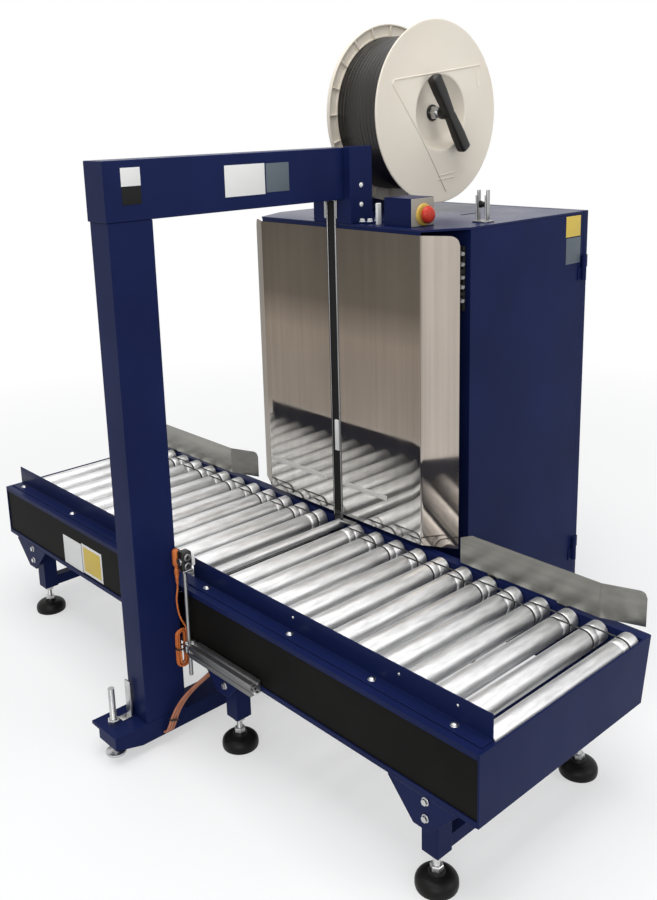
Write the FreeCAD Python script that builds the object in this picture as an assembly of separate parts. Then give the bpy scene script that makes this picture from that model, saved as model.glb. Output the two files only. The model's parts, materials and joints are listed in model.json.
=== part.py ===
# Side-seal carton strapping machine: a powered roller conveyor under a strapping arch,
# with the strapping cabinet on the far side and the strap reel on top of it.
# X runs along the conveyor, -Y is the side of the arch column, +Y the cabinet, Z is up.
# The origin is on the floor, under the middle of the machine's footprint.
import FreeCAD, Part

import math
import os

V = FreeCAD.Vector

# Conveyor frame
frame_length = 1864.0
frame_width = 580.0
frame_top = 384.0
rail_height = 151.0
rail_sheet = 3.0
rail_lip = 12.0
near_flange = 52.0
far_flange = 30.0
end_sheet = 4.0
end_taper = 28.0
end_taper_run = 44.0
cross_count = 6
cross_width = 40.0
cross_height = 46.0
cover_sheet = 2.0
cover_lap = 4.0
cover_gap = 46.0

# Rollers, their axles and the round belts that link neighbours
roller_pitch = 75.0
roller_diameter = 50.0
roller_rise = 6.0
roller_near_gap = 7.0
roller_far_gap = 3.0
roller_edge = 3.0
roller_wall = 1.5
roller_plug = 22.0
groove_depth = 3.5
groove_width = 8.0
groove_first = 34.0
groove_step = 24.0
axle_diameter = 12.0
running_gap = 0.05
belt_width = 4.0
belt_thickness = 3.0
belt_gap = 0.3
belt_sides = 10
gap_roller_diameter = 24.0
gap_roller_axle = 8.0

# Guides beside the load
near_guide_height = 54.0
near_guide_sheet = 3.0
near_guide_foot = 34.0
near_guide_left_end = 50.0
near_guide_right_start = 6.0
near_guide_end_gap = 9.0
far_guide_height = 82.0
far_guide_lift = 9.0
far_guide_sheet = 2.0
far_guide_inset = 28.0
far_guide_left_bend = 500.0
far_guide_right_start = 430.0
far_guide_right_end_gap = 109.0
far_guide_flare = 98.0
far_guide_flare_turn = 20.0
guide_bracket_width = 30.0
guide_bracket_sheet = 4.0
guide_corner = 16.0

# Legs and levelling feet
leg_end_gap = 137.0
leg_inner_x = 168.0
leg_inset = 45.0
leg_tube = 42.0
leg_tube_bottom = 82.0
gusset_top_width = 174.0
gusset_side_width = 120.0
gusset_bottom = 158.0
gusset_sheet = 4.0
leg_tie = 30.0
foot_diameter = 88.0
foot_rim = 9.0
foot_height = 30.0
foot_boss = 30.0
foot_crown = 22.0
stem_diameter = 14.0
nut_width = 24.0
nut_height = 11.0

# Strapping arch
column_width = 76.0
column_depth = 111.0
column_wall = 4.0
column_clearance = 20.0
beam_rise = 62.0
beam_height = 129.0
beam_width = 80.0
beam_proud = 4.0
beam_overhang = 22.0
post_width = 142.0
post_depth = 79.0
post_proud = 3.0
post_sheet = 4.0
base_height = 42.0
base_bottom = 28.0
base_tip_bottom = 47.0
base_tip_run = 72.0
base_plate_sheet = 8.0
base_reach = 87.0
base_tab = 32.0
base_tab_depth = 102.0
column_rod_x = -22.0
column_rod_gap = 55.0
column_rod_diameter = 16.0
column_rod_top = 172.0
column_foot_diameter = 50.0
column_foot_height = 9.0
rod_guard_gap = 10.0
rod_guard_foot = 30.0
rod_guard_width = 22.0
rod_guard_sheet = 4.0

# Strap track, a channel in the strap plane
strap_x = -10.0
track_width = 36.0
track_depth = 14.0
track_wall = 3.0
track_fit = 0.5
bottom_track_drop = 26.0
bottom_track_height = 22.0

# Strapping cabinet
cabinet_half_width = 358.0
cabinet_setback = 118.0
cabinet_depth = 483.0
cabinet_bottom = 60.0
cabinet_top_z = 1206.0
cabinet_sheet = 4.0
cabinet_top_sheet = 6.0
cabinet_foot_diameter = 70.0
cabinet_foot_inset = 60.0
head_opening_width = 420.0
head_opening_bottom = 420.0
head_opening_top = 1160.0
door_opening_inset = 34.0
door_sheet = 22.0
door_gap = 0.5
hinge_radius = 7.0
hinge_pin_radius = 4.0
hinge_knuckle = 34.0
hinge_leaf = 3.0
hinge_leaf_width = 20.0
hinge_end = 150.0
latch_inset = 40.0
latch_radius = 13.0
latch_spindle_radius = 7.0
latch_reach = 16.0
latch_grip_length = 90.0
latch_grip_width = 18.0
latch_height = 640.0

# Stainless front plates
plate_sheet = 2.0
plate_half_width = 300.0
plate_top = 1193.0
plate_bottom = 398.0
plate_wing = 96.0
plate_wing_turn = 30.0
plate_corner = 22.0
plate_slot_gap = 1.0
plate_bracket_width = 40.0
plate_bracket_share = 0.3

# Strapping head
head_depth = 150.0
head_bottom = 430.0
head_top = 1150.0
head_plate = 12.0
head_motor_radius = 62.0
head_motor_length = 170.0
head_wheel_radius = 42.0
head_wheel_width = 30.0
head_shelf = 60.0
head_spool_count = 5
head_spool_pitch = 58.0
head_spool_radius = 22.0
head_spool_width = 36.0

# Strap reel on the cabinet
reel_setback = 220.0
reel_axis_z = 1477.0
reel_front_x = 64.0
reel_width = 186.0
reel_radius = 242.0
flange_sheet = 5.0
flange_rim_share = 0.87
flange_rim_height = 7.0
flange_rib_count = 20
flange_rib_width = 3.0
recess_radius = 100.0
recess_depth = 34.0
flange_cone = 10.0
recess_wall = 3.0
recess_draft = 8.0
core_radius = 100.0
core_wall = 4.0
coil_radius = 209.0
shaft_radius = 12.0
post_gap = 22.0
dispenser_arm = 26.0
dispenser_width = 90.0
dispenser_head_radius = 60.0
dispenser_base_width = 200.0
handle_reach = 36.0
handle_length = 245.0
handle_radius = 16.0
handle_waist = 13.0
handle_turn = 33.5
handle_hub_radius = 18.0
handle_hub_length = 26.0
handle_bore_depth = 10.0

# Emergency stop on the cabinet top
stop_x = 155.0
stop_width = 90.0
stop_depth = 84.0
stop_height = 70.0
stop_inset = 28.0
stop_centre_y = 44.0
stop_centre_z = 29.0
collar_radius = 22.0
collar_height = 6.0
button_radius = 19.0
button_stem_radius = 11.0
button_reach = 22.0
button_head = 13.0
button_travel = 6.0
button_fit = 0.05

# Strap guide on the cabinet top
guide_inset = 50.0
guide_setback = 110.0
guide_base = 44.0
guide_base_sheet = 5.0
guide_post_height = 76.0
guide_post_width = 10.0
guide_post_gap = 24.0
guide_roller_radius = 9.0

# Carton sensor beside the column
profile_start = 82.0
profile_length = 235.0
profile_size = 30.0
profile_z = 246.0
profile_slot = 8.0
profile_slot_depth = 8.0
sensor_rod_x = 66.0
sensor_rod_gap = 16.0
sensor_rod_bottom = 172.0
sensor_rod_top = 444.0
sensor_rod_diameter = 10.0
clamp_size = 24.0
sensor_size = 26.0
sensor_depth = 30.0
sensor_height = 52.0
lens_size = 18.0
lens_depth = 8.0
plug_radius = 7.0
plug_head = 42.0
neck_radius = 5.0

# Sensor lead, its hank and the cable bundle; their points are a route chosen by hand
lead_diameter = 4.5
lead_route = [(46.0, -315.5, 408.0), (46.0, -315.5, 398.0), (46.0, -321.5, 372.0), (46.0, -320.0, 350.0),
              (46.0, -316.0, 326.0), (46.0, -311.0, 304.0), (46.0, -311.0, 290.8)]
hank_x = 46.0
hank_y = -313.0
hank_top = 290.0
hank_height = 100.0
hank_width = 32.0
hank_loops = 2
hank_gap = 0.7
hank_sample = 2.0
bundle_diameter = 6.0
bundle_step = 8.0
bundle_count = 3
bundle_route = [(112.0, -240.0, 228.5), (112.0, -240.0, 212.0), (101.0, -256.0, 186.0),
                (85.0, -276.0, 162.0), (70.0, -300.0, 140.0), (60.0, -326.0, 116.0),
                (54.0, -350.0, 84.0), (51.0, -368.0, 36.0), (38.5, -368.0, 36.0)]

# Fasteners
bolt_head_radius = 6.5
bolt_head_height = 4.5
guide_bolt_shares = (-0.942, -0.616, 0.084, 0.411, 0.68, 0.908)
guide_bolt_inset = 35.0
leg_bolt_shift = 11.0
leg_bolt_drops = (11.0, 48.0)
post_bolt_inset = 58.0
post_bolt_rises = (-19.0, 31.0)
roof_bolt_gap = 12.0
roof_bolt_insets = (31.0, 78.0)

# Share of a cord's run that an arc takes, shortest straight kept, and cutting overrun
arc_share = 0.45
small = 0.001
overrun = 5.0

half_length = frame_length / 2
half_width = frame_width / 2
frame_bottom = frame_top - rail_height
bottom_track_top = frame_top - bottom_track_drop
leg_outer_x = half_length - leg_end_gap
far_guide_right_bend = half_length - far_guide_right_end_gap
far_guide_y = half_width - far_guide_inset
cabinet_front = far_guide_y + cabinet_setback
cabinet_back = cabinet_front + cabinet_depth
reel_axis_y = cabinet_front + reel_setback
guide_x = cabinet_half_width - guide_inset
guide_y = cabinet_front + guide_setback
latch_x = latch_inset - cabinet_half_width
sensor_rod_y = -half_width - sensor_rod_gap
near_web_y = -half_width + near_flange
far_web_y = half_width - far_flange
roller_radius = roller_diameter / 2
rollers_per_side = int((half_length - end_sheet - roller_radius) / roller_pitch)
roller_z = frame_top + roller_rise - roller_radius
roller_near_y = near_web_y + roller_near_gap
roller_far_y = far_web_y - roller_far_gap
gap_roller_radius = gap_roller_diameter / 2
column_inner_y = -half_width - column_clearance
column_outer_y = column_inner_y - column_depth
column_rod_y = column_outer_y - column_rod_gap
column_bottom = base_bottom + base_height + base_plate_sheet
beam_bottom = cabinet_top_z + beam_rise
beam_top = beam_bottom + beam_height
beam_end_y = far_guide_y + beam_overhang
post_top = beam_top + post_proud
front_reach = -column_outer_y + base_reach
cabinet_roof = cabinet_top_z - cabinet_top_sheet
door_back = cabinet_back + door_gap + door_sheet
rear_reach = door_back + latch_reach
centre_y = (rear_reach - front_reach) / 2
track_half = track_width / 2
gap_roller_x = strap_x + track_half + roller_near_gap / 2


def box(low, high):
    """A block between two corners."""
    size = [high[i] - low[i] for i in range(len(low))]
    return Part.makeBox(size[0], size[1], size[2], V(*low))


def rod(start, axis, radius, length):
    """A cylinder from start along axis."""
    return Part.makeCylinder(radius, length, V(*start), axis)


def tube(start, axis, radius, bore, length):
    """A cylinder with a bore through it."""
    outer = rod(start, axis, radius, length)
    back = V(*start) - axis * overrun
    return outer.cut(Part.makeCylinder(bore, length + 2 * overrun, back, axis))


def polygon(points):
    """A flat face from a closed outline of corner points."""
    vectors = [V(*p) for p in points]
    return Part.Face(Part.makePolygon(vectors + vectors[:1]))


def prism_x(outline, start, length):
    """An outline of (y, z) points drawn out along X."""
    return polygon([(start, y, z) for y, z in outline]).extrude(V(length, 0, 0))


def prism_y(outline, start, length):
    """An outline of (x, z) points drawn out along Y."""
    return polygon([(x, start, z) for x, z in outline]).extrude(V(0, length, 0))


def prism_z(outline, start, length):
    """An outline of (x, y) points drawn out along Z."""
    return polygon([(x, y, start) for x, y in outline]).extrude(V(0, 0, length))


def turned(profile, centre, axis):
    """A profile of (along, radius) points turned about an axis."""
    side = V(0, 0, 1) if abs(axis.z) < abs(axis.x) + abs(axis.y) else V(1, 0, 0)
    origin = V(*centre)
    corners = [origin + axis * along + side * radius for along, radius in profile]
    return Part.Face(Part.makePolygon(corners + corners[:1])).revolve(origin, axis, 360)


def hexagon_nut(centre, axis, width, height):
    """A hexagon nut that stands on centre along axis."""
    side = V(0, 0, 1) if abs(axis.z) < abs(axis.x) + abs(axis.y) else V(1, 0, 0)
    across = axis.cross(side)
    radius = width / math.sqrt(3)
    corners = []
    for i in range(6):
        angle = math.pi * i / 3
        corners.append(V(*centre) + side * radius * math.cos(angle) + across * radius * math.sin(angle))
    return Part.Face(Part.makePolygon(corners + corners[:1])).extrude(axis * height)


def rounded_ends(plate, axis_x, radius, sheet, heights):
    """An upright plate with the corners rounded at its end near axis_x, at the given heights."""
    corners = []
    for edge in plate.Edges:
        middle = edge.CenterOfMass
        across = abs(edge.Length - sheet) < small
        if across and abs(middle.x - axis_x) < sheet and min(abs(middle.z - z) for z in heights) < small:
            corners.append(edge)
    return plate.makeFillet(radius, corners)


def group(solids):
    """Separate solids that share one node."""
    return Part.makeCompound([s for shape in solids for s in shape.Solids])


def rail_profile(outer, web, inward):
    """The folded rail: a channel open to the outside, with a lip on each flange."""
    s = rail_sheet * inward
    top, bottom = frame_top, frame_bottom
    return [(outer, top - rail_lip), (outer, top), (web, top), (web, bottom), (outer, bottom),
            (outer, bottom + rail_lip), (outer + s, bottom + rail_lip), (outer + s, bottom + rail_sheet),
            (web - s, bottom + rail_sheet), (web - s, top - rail_sheet), (outer + s, top - rail_sheet),
            (outer + s, top - rail_lip)]


def end_wedges():
    """What the drawn-in corner of each end panel takes off the far rail and its cover behind it."""
    outline = [(half_width + overrun, frame_bottom - overrun), (half_width - end_taper, frame_bottom - overrun),
               (half_width - end_taper, frame_bottom), (half_width, frame_top), (half_width + overrun, frame_top)]
    right = prism_x(outline, half_length - end_taper_run, end_taper_run)
    left = prism_x(outline, -half_length, end_taper_run)
    return right.fuse(left)


def side_rails():
    """Both side rails, notched in the strap plane for the track; the far one through its top flange."""
    length = frame_length - 2 * end_sheet
    near = prism_x(rail_profile(-half_width, near_web_y, 1), -length / 2, length)
    far = prism_x(rail_profile(half_width, far_web_y, -1), -length / 2, length)
    low_x, high_x = strap_x - track_half - track_fit, strap_x + track_half + track_fit
    low = bottom_track_top - bottom_track_height - track_fit
    near_notch = box((low_x, -half_width - overrun, low),
                     (high_x, near_web_y + overrun, bottom_track_top + track_fit))
    far_notch = box((low_x, far_web_y - overrun, low), (high_x, half_width + overrun, frame_top + overrun))
    return near.cut(near_notch), far.cut(far_notch).cut(end_wedges())


def cross_places():
    """Places along X of the cross members, evenly spaced and clear of the strap plane."""
    step = 2 * leg_outer_x / (cross_count - 1)
    return [-leg_outer_x + i * step for i in range(cross_count)]


def cross_member(x):
    """An upturned channel between the two rail webs."""
    half = cross_width / 2
    top = frame_bottom + cross_height
    outline = [(x - half, frame_bottom), (x - half, top), (x + half, top), (x + half, frame_bottom),
               (x + half - rail_sheet, frame_bottom), (x + half - rail_sheet, top - rail_sheet),
               (x - half + rail_sheet, top - rail_sheet), (x - half + rail_sheet, frame_bottom)]
    return prism_y(outline, near_web_y, far_web_y - near_web_y)


def conveyor_frame():
    near, far = side_rails()
    return group([near, far] + [cross_member(x) for x in cross_places()])


def end_panels():
    """A plate across each end, drawn in at its far lower corner."""
    outline = [(-half_width, frame_bottom), (-half_width, frame_top), (half_width, frame_top),
               (half_width - end_taper, frame_bottom)]
    right = prism_x(outline, half_length - end_sheet, end_sheet)
    left = prism_x(outline, -half_length, end_sheet)
    return group([left, right])


def side_covers():
    """Flat covers behind the rail lips, on both sides of the strap plane."""
    low = frame_bottom + rail_lip - cover_lap
    high = frame_top - rail_lip + cover_lap
    end = half_length - end_sheet
    near = -half_width + rail_sheet
    far = half_width - rail_sheet
    covers = []
    for start, stop in ((-end, -cover_gap), (cover_gap, end)):
        covers.append(box((start, near, low), (stop, near + cover_sheet, high)))
        covers.append(box((start, far - cover_sheet, low), (stop, far, high)).cut(end_wedges()))
    return group(covers)


def near_guide(start, stop):
    """An angle that stands on the near flange: a foot and a wall beside the rollers."""
    wall = near_web_y
    outline = [(wall, frame_top), (wall, frame_top + near_guide_height),
               (wall - near_guide_sheet, frame_top + near_guide_height),
               (wall - near_guide_sheet, frame_top + near_guide_sheet),
               (wall - near_guide_foot, frame_top + near_guide_sheet),
               (wall - near_guide_foot, frame_top)]
    return prism_x(outline, start, stop - start)


def near_guides():
    end = half_length - near_guide_end_gap
    return group([near_guide(-end, -near_guide_left_end), near_guide(near_guide_right_start, end)])


def far_guide_plate(start, bend):
    """A stainless strip along the rollers, flared away from the load at its +X end."""
    turn = math.radians(far_guide_flare_turn)
    along, out = math.cos(turn), math.sin(turn)
    tip_x = bend + far_guide_flare * along
    tip_y = far_guide_y + far_guide_flare * out
    outline = [(start, far_guide_y), (bend, far_guide_y), (tip_x, tip_y),
               (tip_x - far_guide_sheet * out, tip_y + far_guide_sheet * along),
               (bend, far_guide_y + far_guide_sheet), (start, far_guide_y + far_guide_sheet)]
    low = frame_top + far_guide_lift
    strip = prism_z(outline, low, far_guide_height)
    return rounded_ends(strip, tip_x, guide_corner, far_guide_sheet, (low, low + far_guide_height))


def far_guide_bracket(x):
    """An angle bracket that holds a guide strip up on the far flange."""
    back = far_guide_y + far_guide_sheet
    top = frame_top + far_guide_lift + far_guide_height / 2
    outline = [(back, frame_top), (back, top), (back + guide_bracket_sheet, top),
               (back + guide_bracket_sheet, frame_top + guide_bracket_sheet),
               (half_width - rail_sheet, frame_top + guide_bracket_sheet),
               (half_width - rail_sheet, frame_top)]
    return prism_x(outline, x - guide_bracket_width / 2, guide_bracket_width)


def far_guides():
    left_start = -half_length + near_guide_end_gap
    left = far_guide_plate(left_start, -far_guide_left_bend)
    right = far_guide_plate(far_guide_right_start, far_guide_right_bend)
    left_span = -far_guide_left_bend - left_start
    right_span = far_guide_right_bend - far_guide_right_start
    places = [left_start + left_span / 4, -far_guide_left_bend - left_span / 4,
              far_guide_right_start + right_span / 4, far_guide_right_bend - right_span / 4]
    return group([left, right] + [far_guide_bracket(x) for x in places])


def roller_places():
    """Places along X of the driven rollers: one pitch apart, with the strap gap in the middle."""
    right = [roller_pitch * (i + 1) for i in range(rollers_per_side)]
    return [-x for x in reversed(right)] + right


def roller(x):
    """A hollow tube with bored end plugs and two belt grooves near its far end."""
    r = roller_radius
    length = roller_far_y - roller_near_y
    first = length - groove_first
    second = first - groove_step
    half = groove_width / 2
    flat = belt_width / 2 + belt_gap
    bore = axle_diameter / 2 + running_gap
    hollow = r - groove_depth - roller_wall
    profile = [(0, bore), (0, r),
               (second - half, r), (second - flat, r - groove_depth),
               (second + flat, r - groove_depth), (second + half, r),
               (first - half, r), (first - flat, r - groove_depth),
               (first + flat, r - groove_depth), (first + half, r),
               (length, r), (length, bore), (length - roller_plug, bore), (length - roller_plug, hollow),
               (roller_plug, hollow), (roller_plug, bore)]
    return turned(profile, (x, roller_near_y, roller_z), V(0, 1, 0))


def gap_roller():
    """The slim roller beside the strap gap."""
    r = gap_roller_radius
    length = roller_far_y - roller_near_y
    bore = gap_roller_axle / 2 + running_gap
    z = frame_top + roller_rise - r
    profile = [(0, bore), (0, r), (length - 2 * roller_edge, r), (length, r - 2 * roller_edge), (length, bore)]
    return turned(profile, (gap_roller_x, roller_near_y, z), V(0, 1, 0))


def roller_axles():
    """One fixed axle per roller, butted against the rail webs."""
    length = far_web_y - near_web_y
    axles = [rod((x, near_web_y, roller_z), V(0, 1, 0), axle_diameter / 2, length) for x in roller_places()]
    slim_z = frame_top + roller_rise - gap_roller_radius
    axles.append(rod((gap_roller_x, near_web_y, slim_z), V(0, 1, 0), gap_roller_axle / 2, length))
    return group(axles)


def belt_outline(x, radius):
    """The (x, z) outline of a belt round the rollers at x and one pitch on, in straight facets."""
    reach = radius / math.cos(math.pi / belt_sides / 2)
    points = []
    for centre, first in ((x, math.pi / 2), (x + roller_pitch, -math.pi / 2)):
        for i in range(belt_sides + 1):
            angle = first + math.pi * i / belt_sides
            points.append((centre + reach * math.cos(angle), roller_z + reach * math.sin(angle)))
    return points


def belt(x, y):
    """A belt loop round two neighbouring rollers."""
    inner = roller_radius - groove_depth + belt_gap
    start = y - belt_width / 2
    outer = prism_y(belt_outline(x, inner + belt_thickness), start, belt_width)
    return outer.cut(prism_y(belt_outline(x, inner), start - overrun, belt_width + 2 * overrun))


def drive_belts():
    """Belts that link the rollers on each side of the gap, in alternate grooves."""
    first = roller_far_y - groove_first
    second = first - groove_step
    places = roller_places()
    belts = []
    for side in (places[:rollers_per_side], places[rollers_per_side:]):
        for i, x in enumerate(side[:-1]):
            belts.append(belt(x, first if i % 2 == 0 else second))
    return group(belts)


def leg_places():
    """The (x, y) centres of the eight legs."""
    reach = half_width - leg_inset
    return [(x, y) for y in (-reach, reach) for x in (-leg_outer_x, -leg_inner_x, leg_inner_x, leg_outer_x)]


def leg(x, y):
    """A square tube between two tapered gussets: one flush with the rail, one across under it."""
    side = -1 if y < 0 else 1
    half = leg_tube / 2
    outer = side * half_width
    inner = outer - side * gusset_side_width
    top = frame_bottom
    cap = box((x - gusset_top_width / 2, min(outer, inner), top - gusset_sheet),
              (x + gusset_top_width / 2, max(outer, inner), top))
    low = top - gusset_sheet
    post = box((x - half, y - half, leg_tube_bottom), (x + half, y + half, low))
    outline = [(x - gusset_top_width / 2, low), (x + gusset_top_width / 2, low),
               (x + half, gusset_bottom), (x - half, gusset_bottom)]
    along = prism_y(outline, min(outer, outer - side * gusset_sheet), gusset_sheet)
    inner_gusset = prism_x([(y - side * half, low), (inner, low), (y - side * half, gusset_bottom)],
                           x - gusset_sheet / 2, gusset_sheet)
    face = outer - side * gusset_sheet
    web = prism_x([(y + side * half, low), (face, low), (face, gusset_bottom), (y + side * half, gusset_bottom)],
                  x - gusset_sheet / 2, gusset_sheet)
    return group([post, cap, along, inner_gusset, web])


def leg_rail(x):
    """The tie between the two legs of an end, just above their open lower ends."""
    reach = half_width - leg_inset - leg_tube / 2
    return box((x - leg_tie / 2, -reach, leg_tube_bottom), (x + leg_tie / 2, reach, leg_tube_bottom + leg_tie))


def support_legs():
    return group([leg(x, y) for x, y in leg_places()] + [leg_rail(-leg_outer_x), leg_rail(leg_outer_x)])


def foot_pads():
    """Domed levelling feet."""
    r = foot_diameter / 2
    boss = foot_boss / 2
    profile = [(0, 0), (0, r), (foot_rim, r), (foot_crown, boss), (foot_height, boss), (foot_height, 0)]
    return group([turned(profile, (x, y, 0), V(0, 0, 1)) for x, y in leg_places()])


def rod_guard():
    """The upright angle bracket between the column and its rod."""
    near_y = column_rod_y + column_rod_diameter / 2 + rod_guard_gap
    low_x, high_x = column_rod_x - rod_guard_width / 2, column_rod_x + rod_guard_width / 2
    far_y = near_y + rod_guard_foot
    outline = [(near_y, column_bottom), (near_y, column_bottom + rod_guard_sheet),
               (far_y - rod_guard_sheet, column_bottom + rod_guard_sheet),
               (far_y - rod_guard_sheet, column_rod_top), (far_y, column_rod_top), (far_y, column_bottom)]
    return prism_x(outline, low_x, high_x - low_x)


def levelling_stems():
    """Threaded stems and nuts of all feet, and the column's long rod, disc foot and bracket."""
    up = V(0, 0, 1)
    pieces = []
    for x, y in leg_places():
        stem = rod((x, y, foot_height), up, stem_diameter / 2, leg_tube_bottom - foot_height)
        pieces.append(stem.fuse(hexagon_nut((x, y, foot_height), up, nut_width, nut_height)))
    x, y = column_rod_x, column_rod_y
    disc = [(0, 0), (0, column_foot_diameter / 2), (column_foot_height / 2, column_foot_diameter / 2),
            (column_foot_height, column_rod_diameter), (column_foot_height, 0)]
    long_rod = rod((x, y, column_foot_height), up, column_rod_diameter / 2, column_rod_top - column_foot_height)
    nut = hexagon_nut((x, y, column_bottom), up, nut_width, nut_height)
    pieces.append(long_rod.fuse([turned(disc, (x, y, 0), up), nut]))
    pieces.append(rod_guard())
    return group(pieces)


def arch_base():
    """The box beam under the conveyor, from the column to the cabinet, with the column's plate."""
    top = base_bottom + base_height
    half = column_width / 2
    tip = -front_reach
    outline = [(tip, top), (tip, base_tip_bottom), (tip + base_tip_run, base_bottom),
               (cabinet_front, base_bottom), (cabinet_front, top)]
    beam = prism_x(outline, -half, column_width)
    plate_outline = [(-half - base_tab, tip), (half, tip), (half, column_inner_y), (-half, column_inner_y),
                     (-half, tip + base_tab_depth), (-half - base_tab, tip + base_tab_depth)]
    plate = prism_z(plate_outline, top, base_plate_sheet)
    hole = rod((column_rod_x, column_rod_y, base_bottom - overrun), V(0, 0, 1),
               column_rod_diameter / 2 + track_fit, column_bottom - base_bottom + 2 * overrun)
    return beam.fuse(plate).removeSplitter().cut(hole)


def arch_column():
    """The upright box, slotted on its inner side for the strap track."""
    half = column_width / 2
    outer = box((-half, column_outer_y, column_bottom), (half, column_inner_y, beam_bottom))
    hollow = box((-half + column_wall, column_outer_y + column_wall, column_bottom - overrun),
                 (half - column_wall, column_inner_y - column_wall, beam_bottom + overrun))
    slot = box((strap_x - track_half - track_fit, column_inner_y - column_wall - overrun,
                bottom_track_top - bottom_track_height - track_fit),
               (strap_x + track_half + track_fit, column_inner_y + overrun, beam_bottom + overrun))
    return outer.cut(hollow).cut(slot)


def arch_beam():
    """The cross box over the load, slotted underneath for the strap track."""
    half = beam_width / 2
    low_y = column_outer_y - beam_proud
    outer = box((-half, low_y, beam_bottom), (half, beam_end_y, beam_top))
    hollow = box((-half + column_wall, low_y + column_wall, beam_bottom + column_wall),
                 (half - column_wall, beam_end_y - column_wall, beam_top - column_wall))
    slot = box((strap_x - track_half - track_fit, column_inner_y - track_depth, beam_bottom - overrun),
               (strap_x + track_half + track_fit, far_guide_y + track_depth,
                beam_bottom + column_wall + overrun))
    return group([outer.cut(hollow).cut(slot), end_post()])


def end_post():
    """The short post under the beam's far end, and the cheek box that clamps the beam's +X side."""
    centre = strap_x + track_wall
    low_x, high_x = centre - post_width / 2, centre + post_width / 2
    front, back = far_guide_y, far_guide_y + post_depth
    t = post_sheet
    post = box((low_x, front, cabinet_top_z), (high_x, back, beam_bottom))
    hollow = box((low_x + t, front + t, cabinet_top_z - overrun), (high_x - t, back - t, beam_bottom - t))
    track_cut = box((strap_x - track_half - track_fit, front - overrun, cabinet_top_z - overrun),
                    (strap_x + track_half + track_fit, front + track_depth + track_fit, beam_bottom + overrun))
    cheek = box((beam_width / 2, front, beam_bottom), (high_x, back, post_top))
    inside = box((beam_width / 2 + t, front + t, beam_bottom + t), (high_x - t, back + overrun, post_top - t))
    return group([post.cut(hollow).cut(track_cut), cheek.cut(inside)])


def channel(low, high, open_side):
    """A track channel: a block with a groove along its longest run, open on one side."""
    block = box(low, high)
    size = [high[i] - low[i] for i in range(3)]
    run = size.index(max(size))
    depth_axis = 1 if open_side[0] == "y" else 2
    inner_low, inner_high = list(low), list(high)
    width_axis = 3 - run - depth_axis
    inner_low[width_axis] += track_wall
    inner_high[width_axis] -= track_wall
    inner_low[run] -= overrun
    inner_high[run] += overrun
    if open_side[1] == "+":
        inner_low[depth_axis] += track_wall
        inner_high[depth_axis] += overrun
    else:
        inner_high[depth_axis] -= track_wall
        inner_low[depth_axis] -= overrun
    return block.cut(box(tuple(inner_low), tuple(inner_high)))


def strap_track():
    """The four runs of the strap track: column, beam, front plates and under the rollers."""
    low_x, high_x = strap_x - track_half, strap_x + track_half
    bottom = bottom_track_top - bottom_track_height
    front = far_guide_y
    upright = channel((low_x, column_inner_y - track_depth, bottom), (high_x, column_inner_y, beam_bottom), "y+")
    over = channel((low_x, column_inner_y, beam_bottom),
                   (high_x, front, beam_bottom + track_depth), "z-")
    far = channel((low_x, front, bottom_track_top), (high_x, front + track_depth, beam_bottom), "y-")
    under = channel((low_x, column_inner_y, bottom), (high_x, front + track_depth, bottom_track_top), "z+")
    return group([upright, over, far, under])


def hinge_places():
    """Heights of the two hinges' meeting planes."""
    return [cabinet_bottom + hinge_end, cabinet_roof - hinge_end]


def hinge_axis():
    """The (x, y) place of the hinge pins, beside the shell's rear corner."""
    return cabinet_half_width + hinge_radius, cabinet_back + door_gap / 2


def sheet_frame(y, inset_x, low_inset, high_inset):
    """Four strips round an opening in an upright sheet: two stiles, a sill and a header."""
    w = cabinet_half_width - cabinet_sheet
    back = y + cabinet_sheet
    low, high = cabinet_bottom + cabinet_sheet, cabinet_roof
    sill_top, header_low = low + low_inset, high - high_inset
    return [box((-w, y, low), (-w + inset_x, back, high)), box((w - inset_x, y, low), (w, back, high)),
            box((-w + inset_x, y, low), (w - inset_x, back, sill_top)),
            box((-w + inset_x, y, header_low), (w - inset_x, back, high))]


def cabinet_shell():
    """The sheet housing: open behind for the door and in front for the strapping head."""
    w = cabinet_half_width
    s = cabinet_sheet
    up = V(0, 0, 1)
    panels = [box((-w, cabinet_front, cabinet_bottom), (w, cabinet_back, cabinet_bottom + s)),
              box((-w, cabinet_front, cabinet_bottom + s), (-w + s, cabinet_back, cabinet_roof)),
              box((w - s, cabinet_front, cabinet_bottom + s), (w, cabinet_back, cabinet_roof))]
    panels += sheet_frame(cabinet_front, w - head_opening_width / 2, head_opening_bottom - cabinet_bottom,
                          cabinet_roof - head_opening_top)
    panels += sheet_frame(cabinet_back - s, door_opening_inset, door_opening_inset, door_opening_inset)
    for x in (-w + cabinet_foot_inset, w - cabinet_foot_inset):
        for y in (cabinet_front + cabinet_foot_inset, cabinet_back - cabinet_foot_inset):
            panels.append(rod((x, y, 0), up, cabinet_foot_diameter / 2, cabinet_bottom))
    x, y = hinge_axis()
    for z in hinge_places():
        knuckle = rod((x, y, z - hinge_knuckle), up, hinge_radius, hinge_knuckle)
        pin = rod((x, y, z), up, hinge_pin_radius, hinge_knuckle)
        leaf = box((w, cabinet_back - hinge_leaf_width, z - hinge_knuckle), (w + hinge_leaf, cabinet_back, z))
        panels.append(knuckle.fuse([pin, leaf]).removeSplitter())
    return group(panels)


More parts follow.
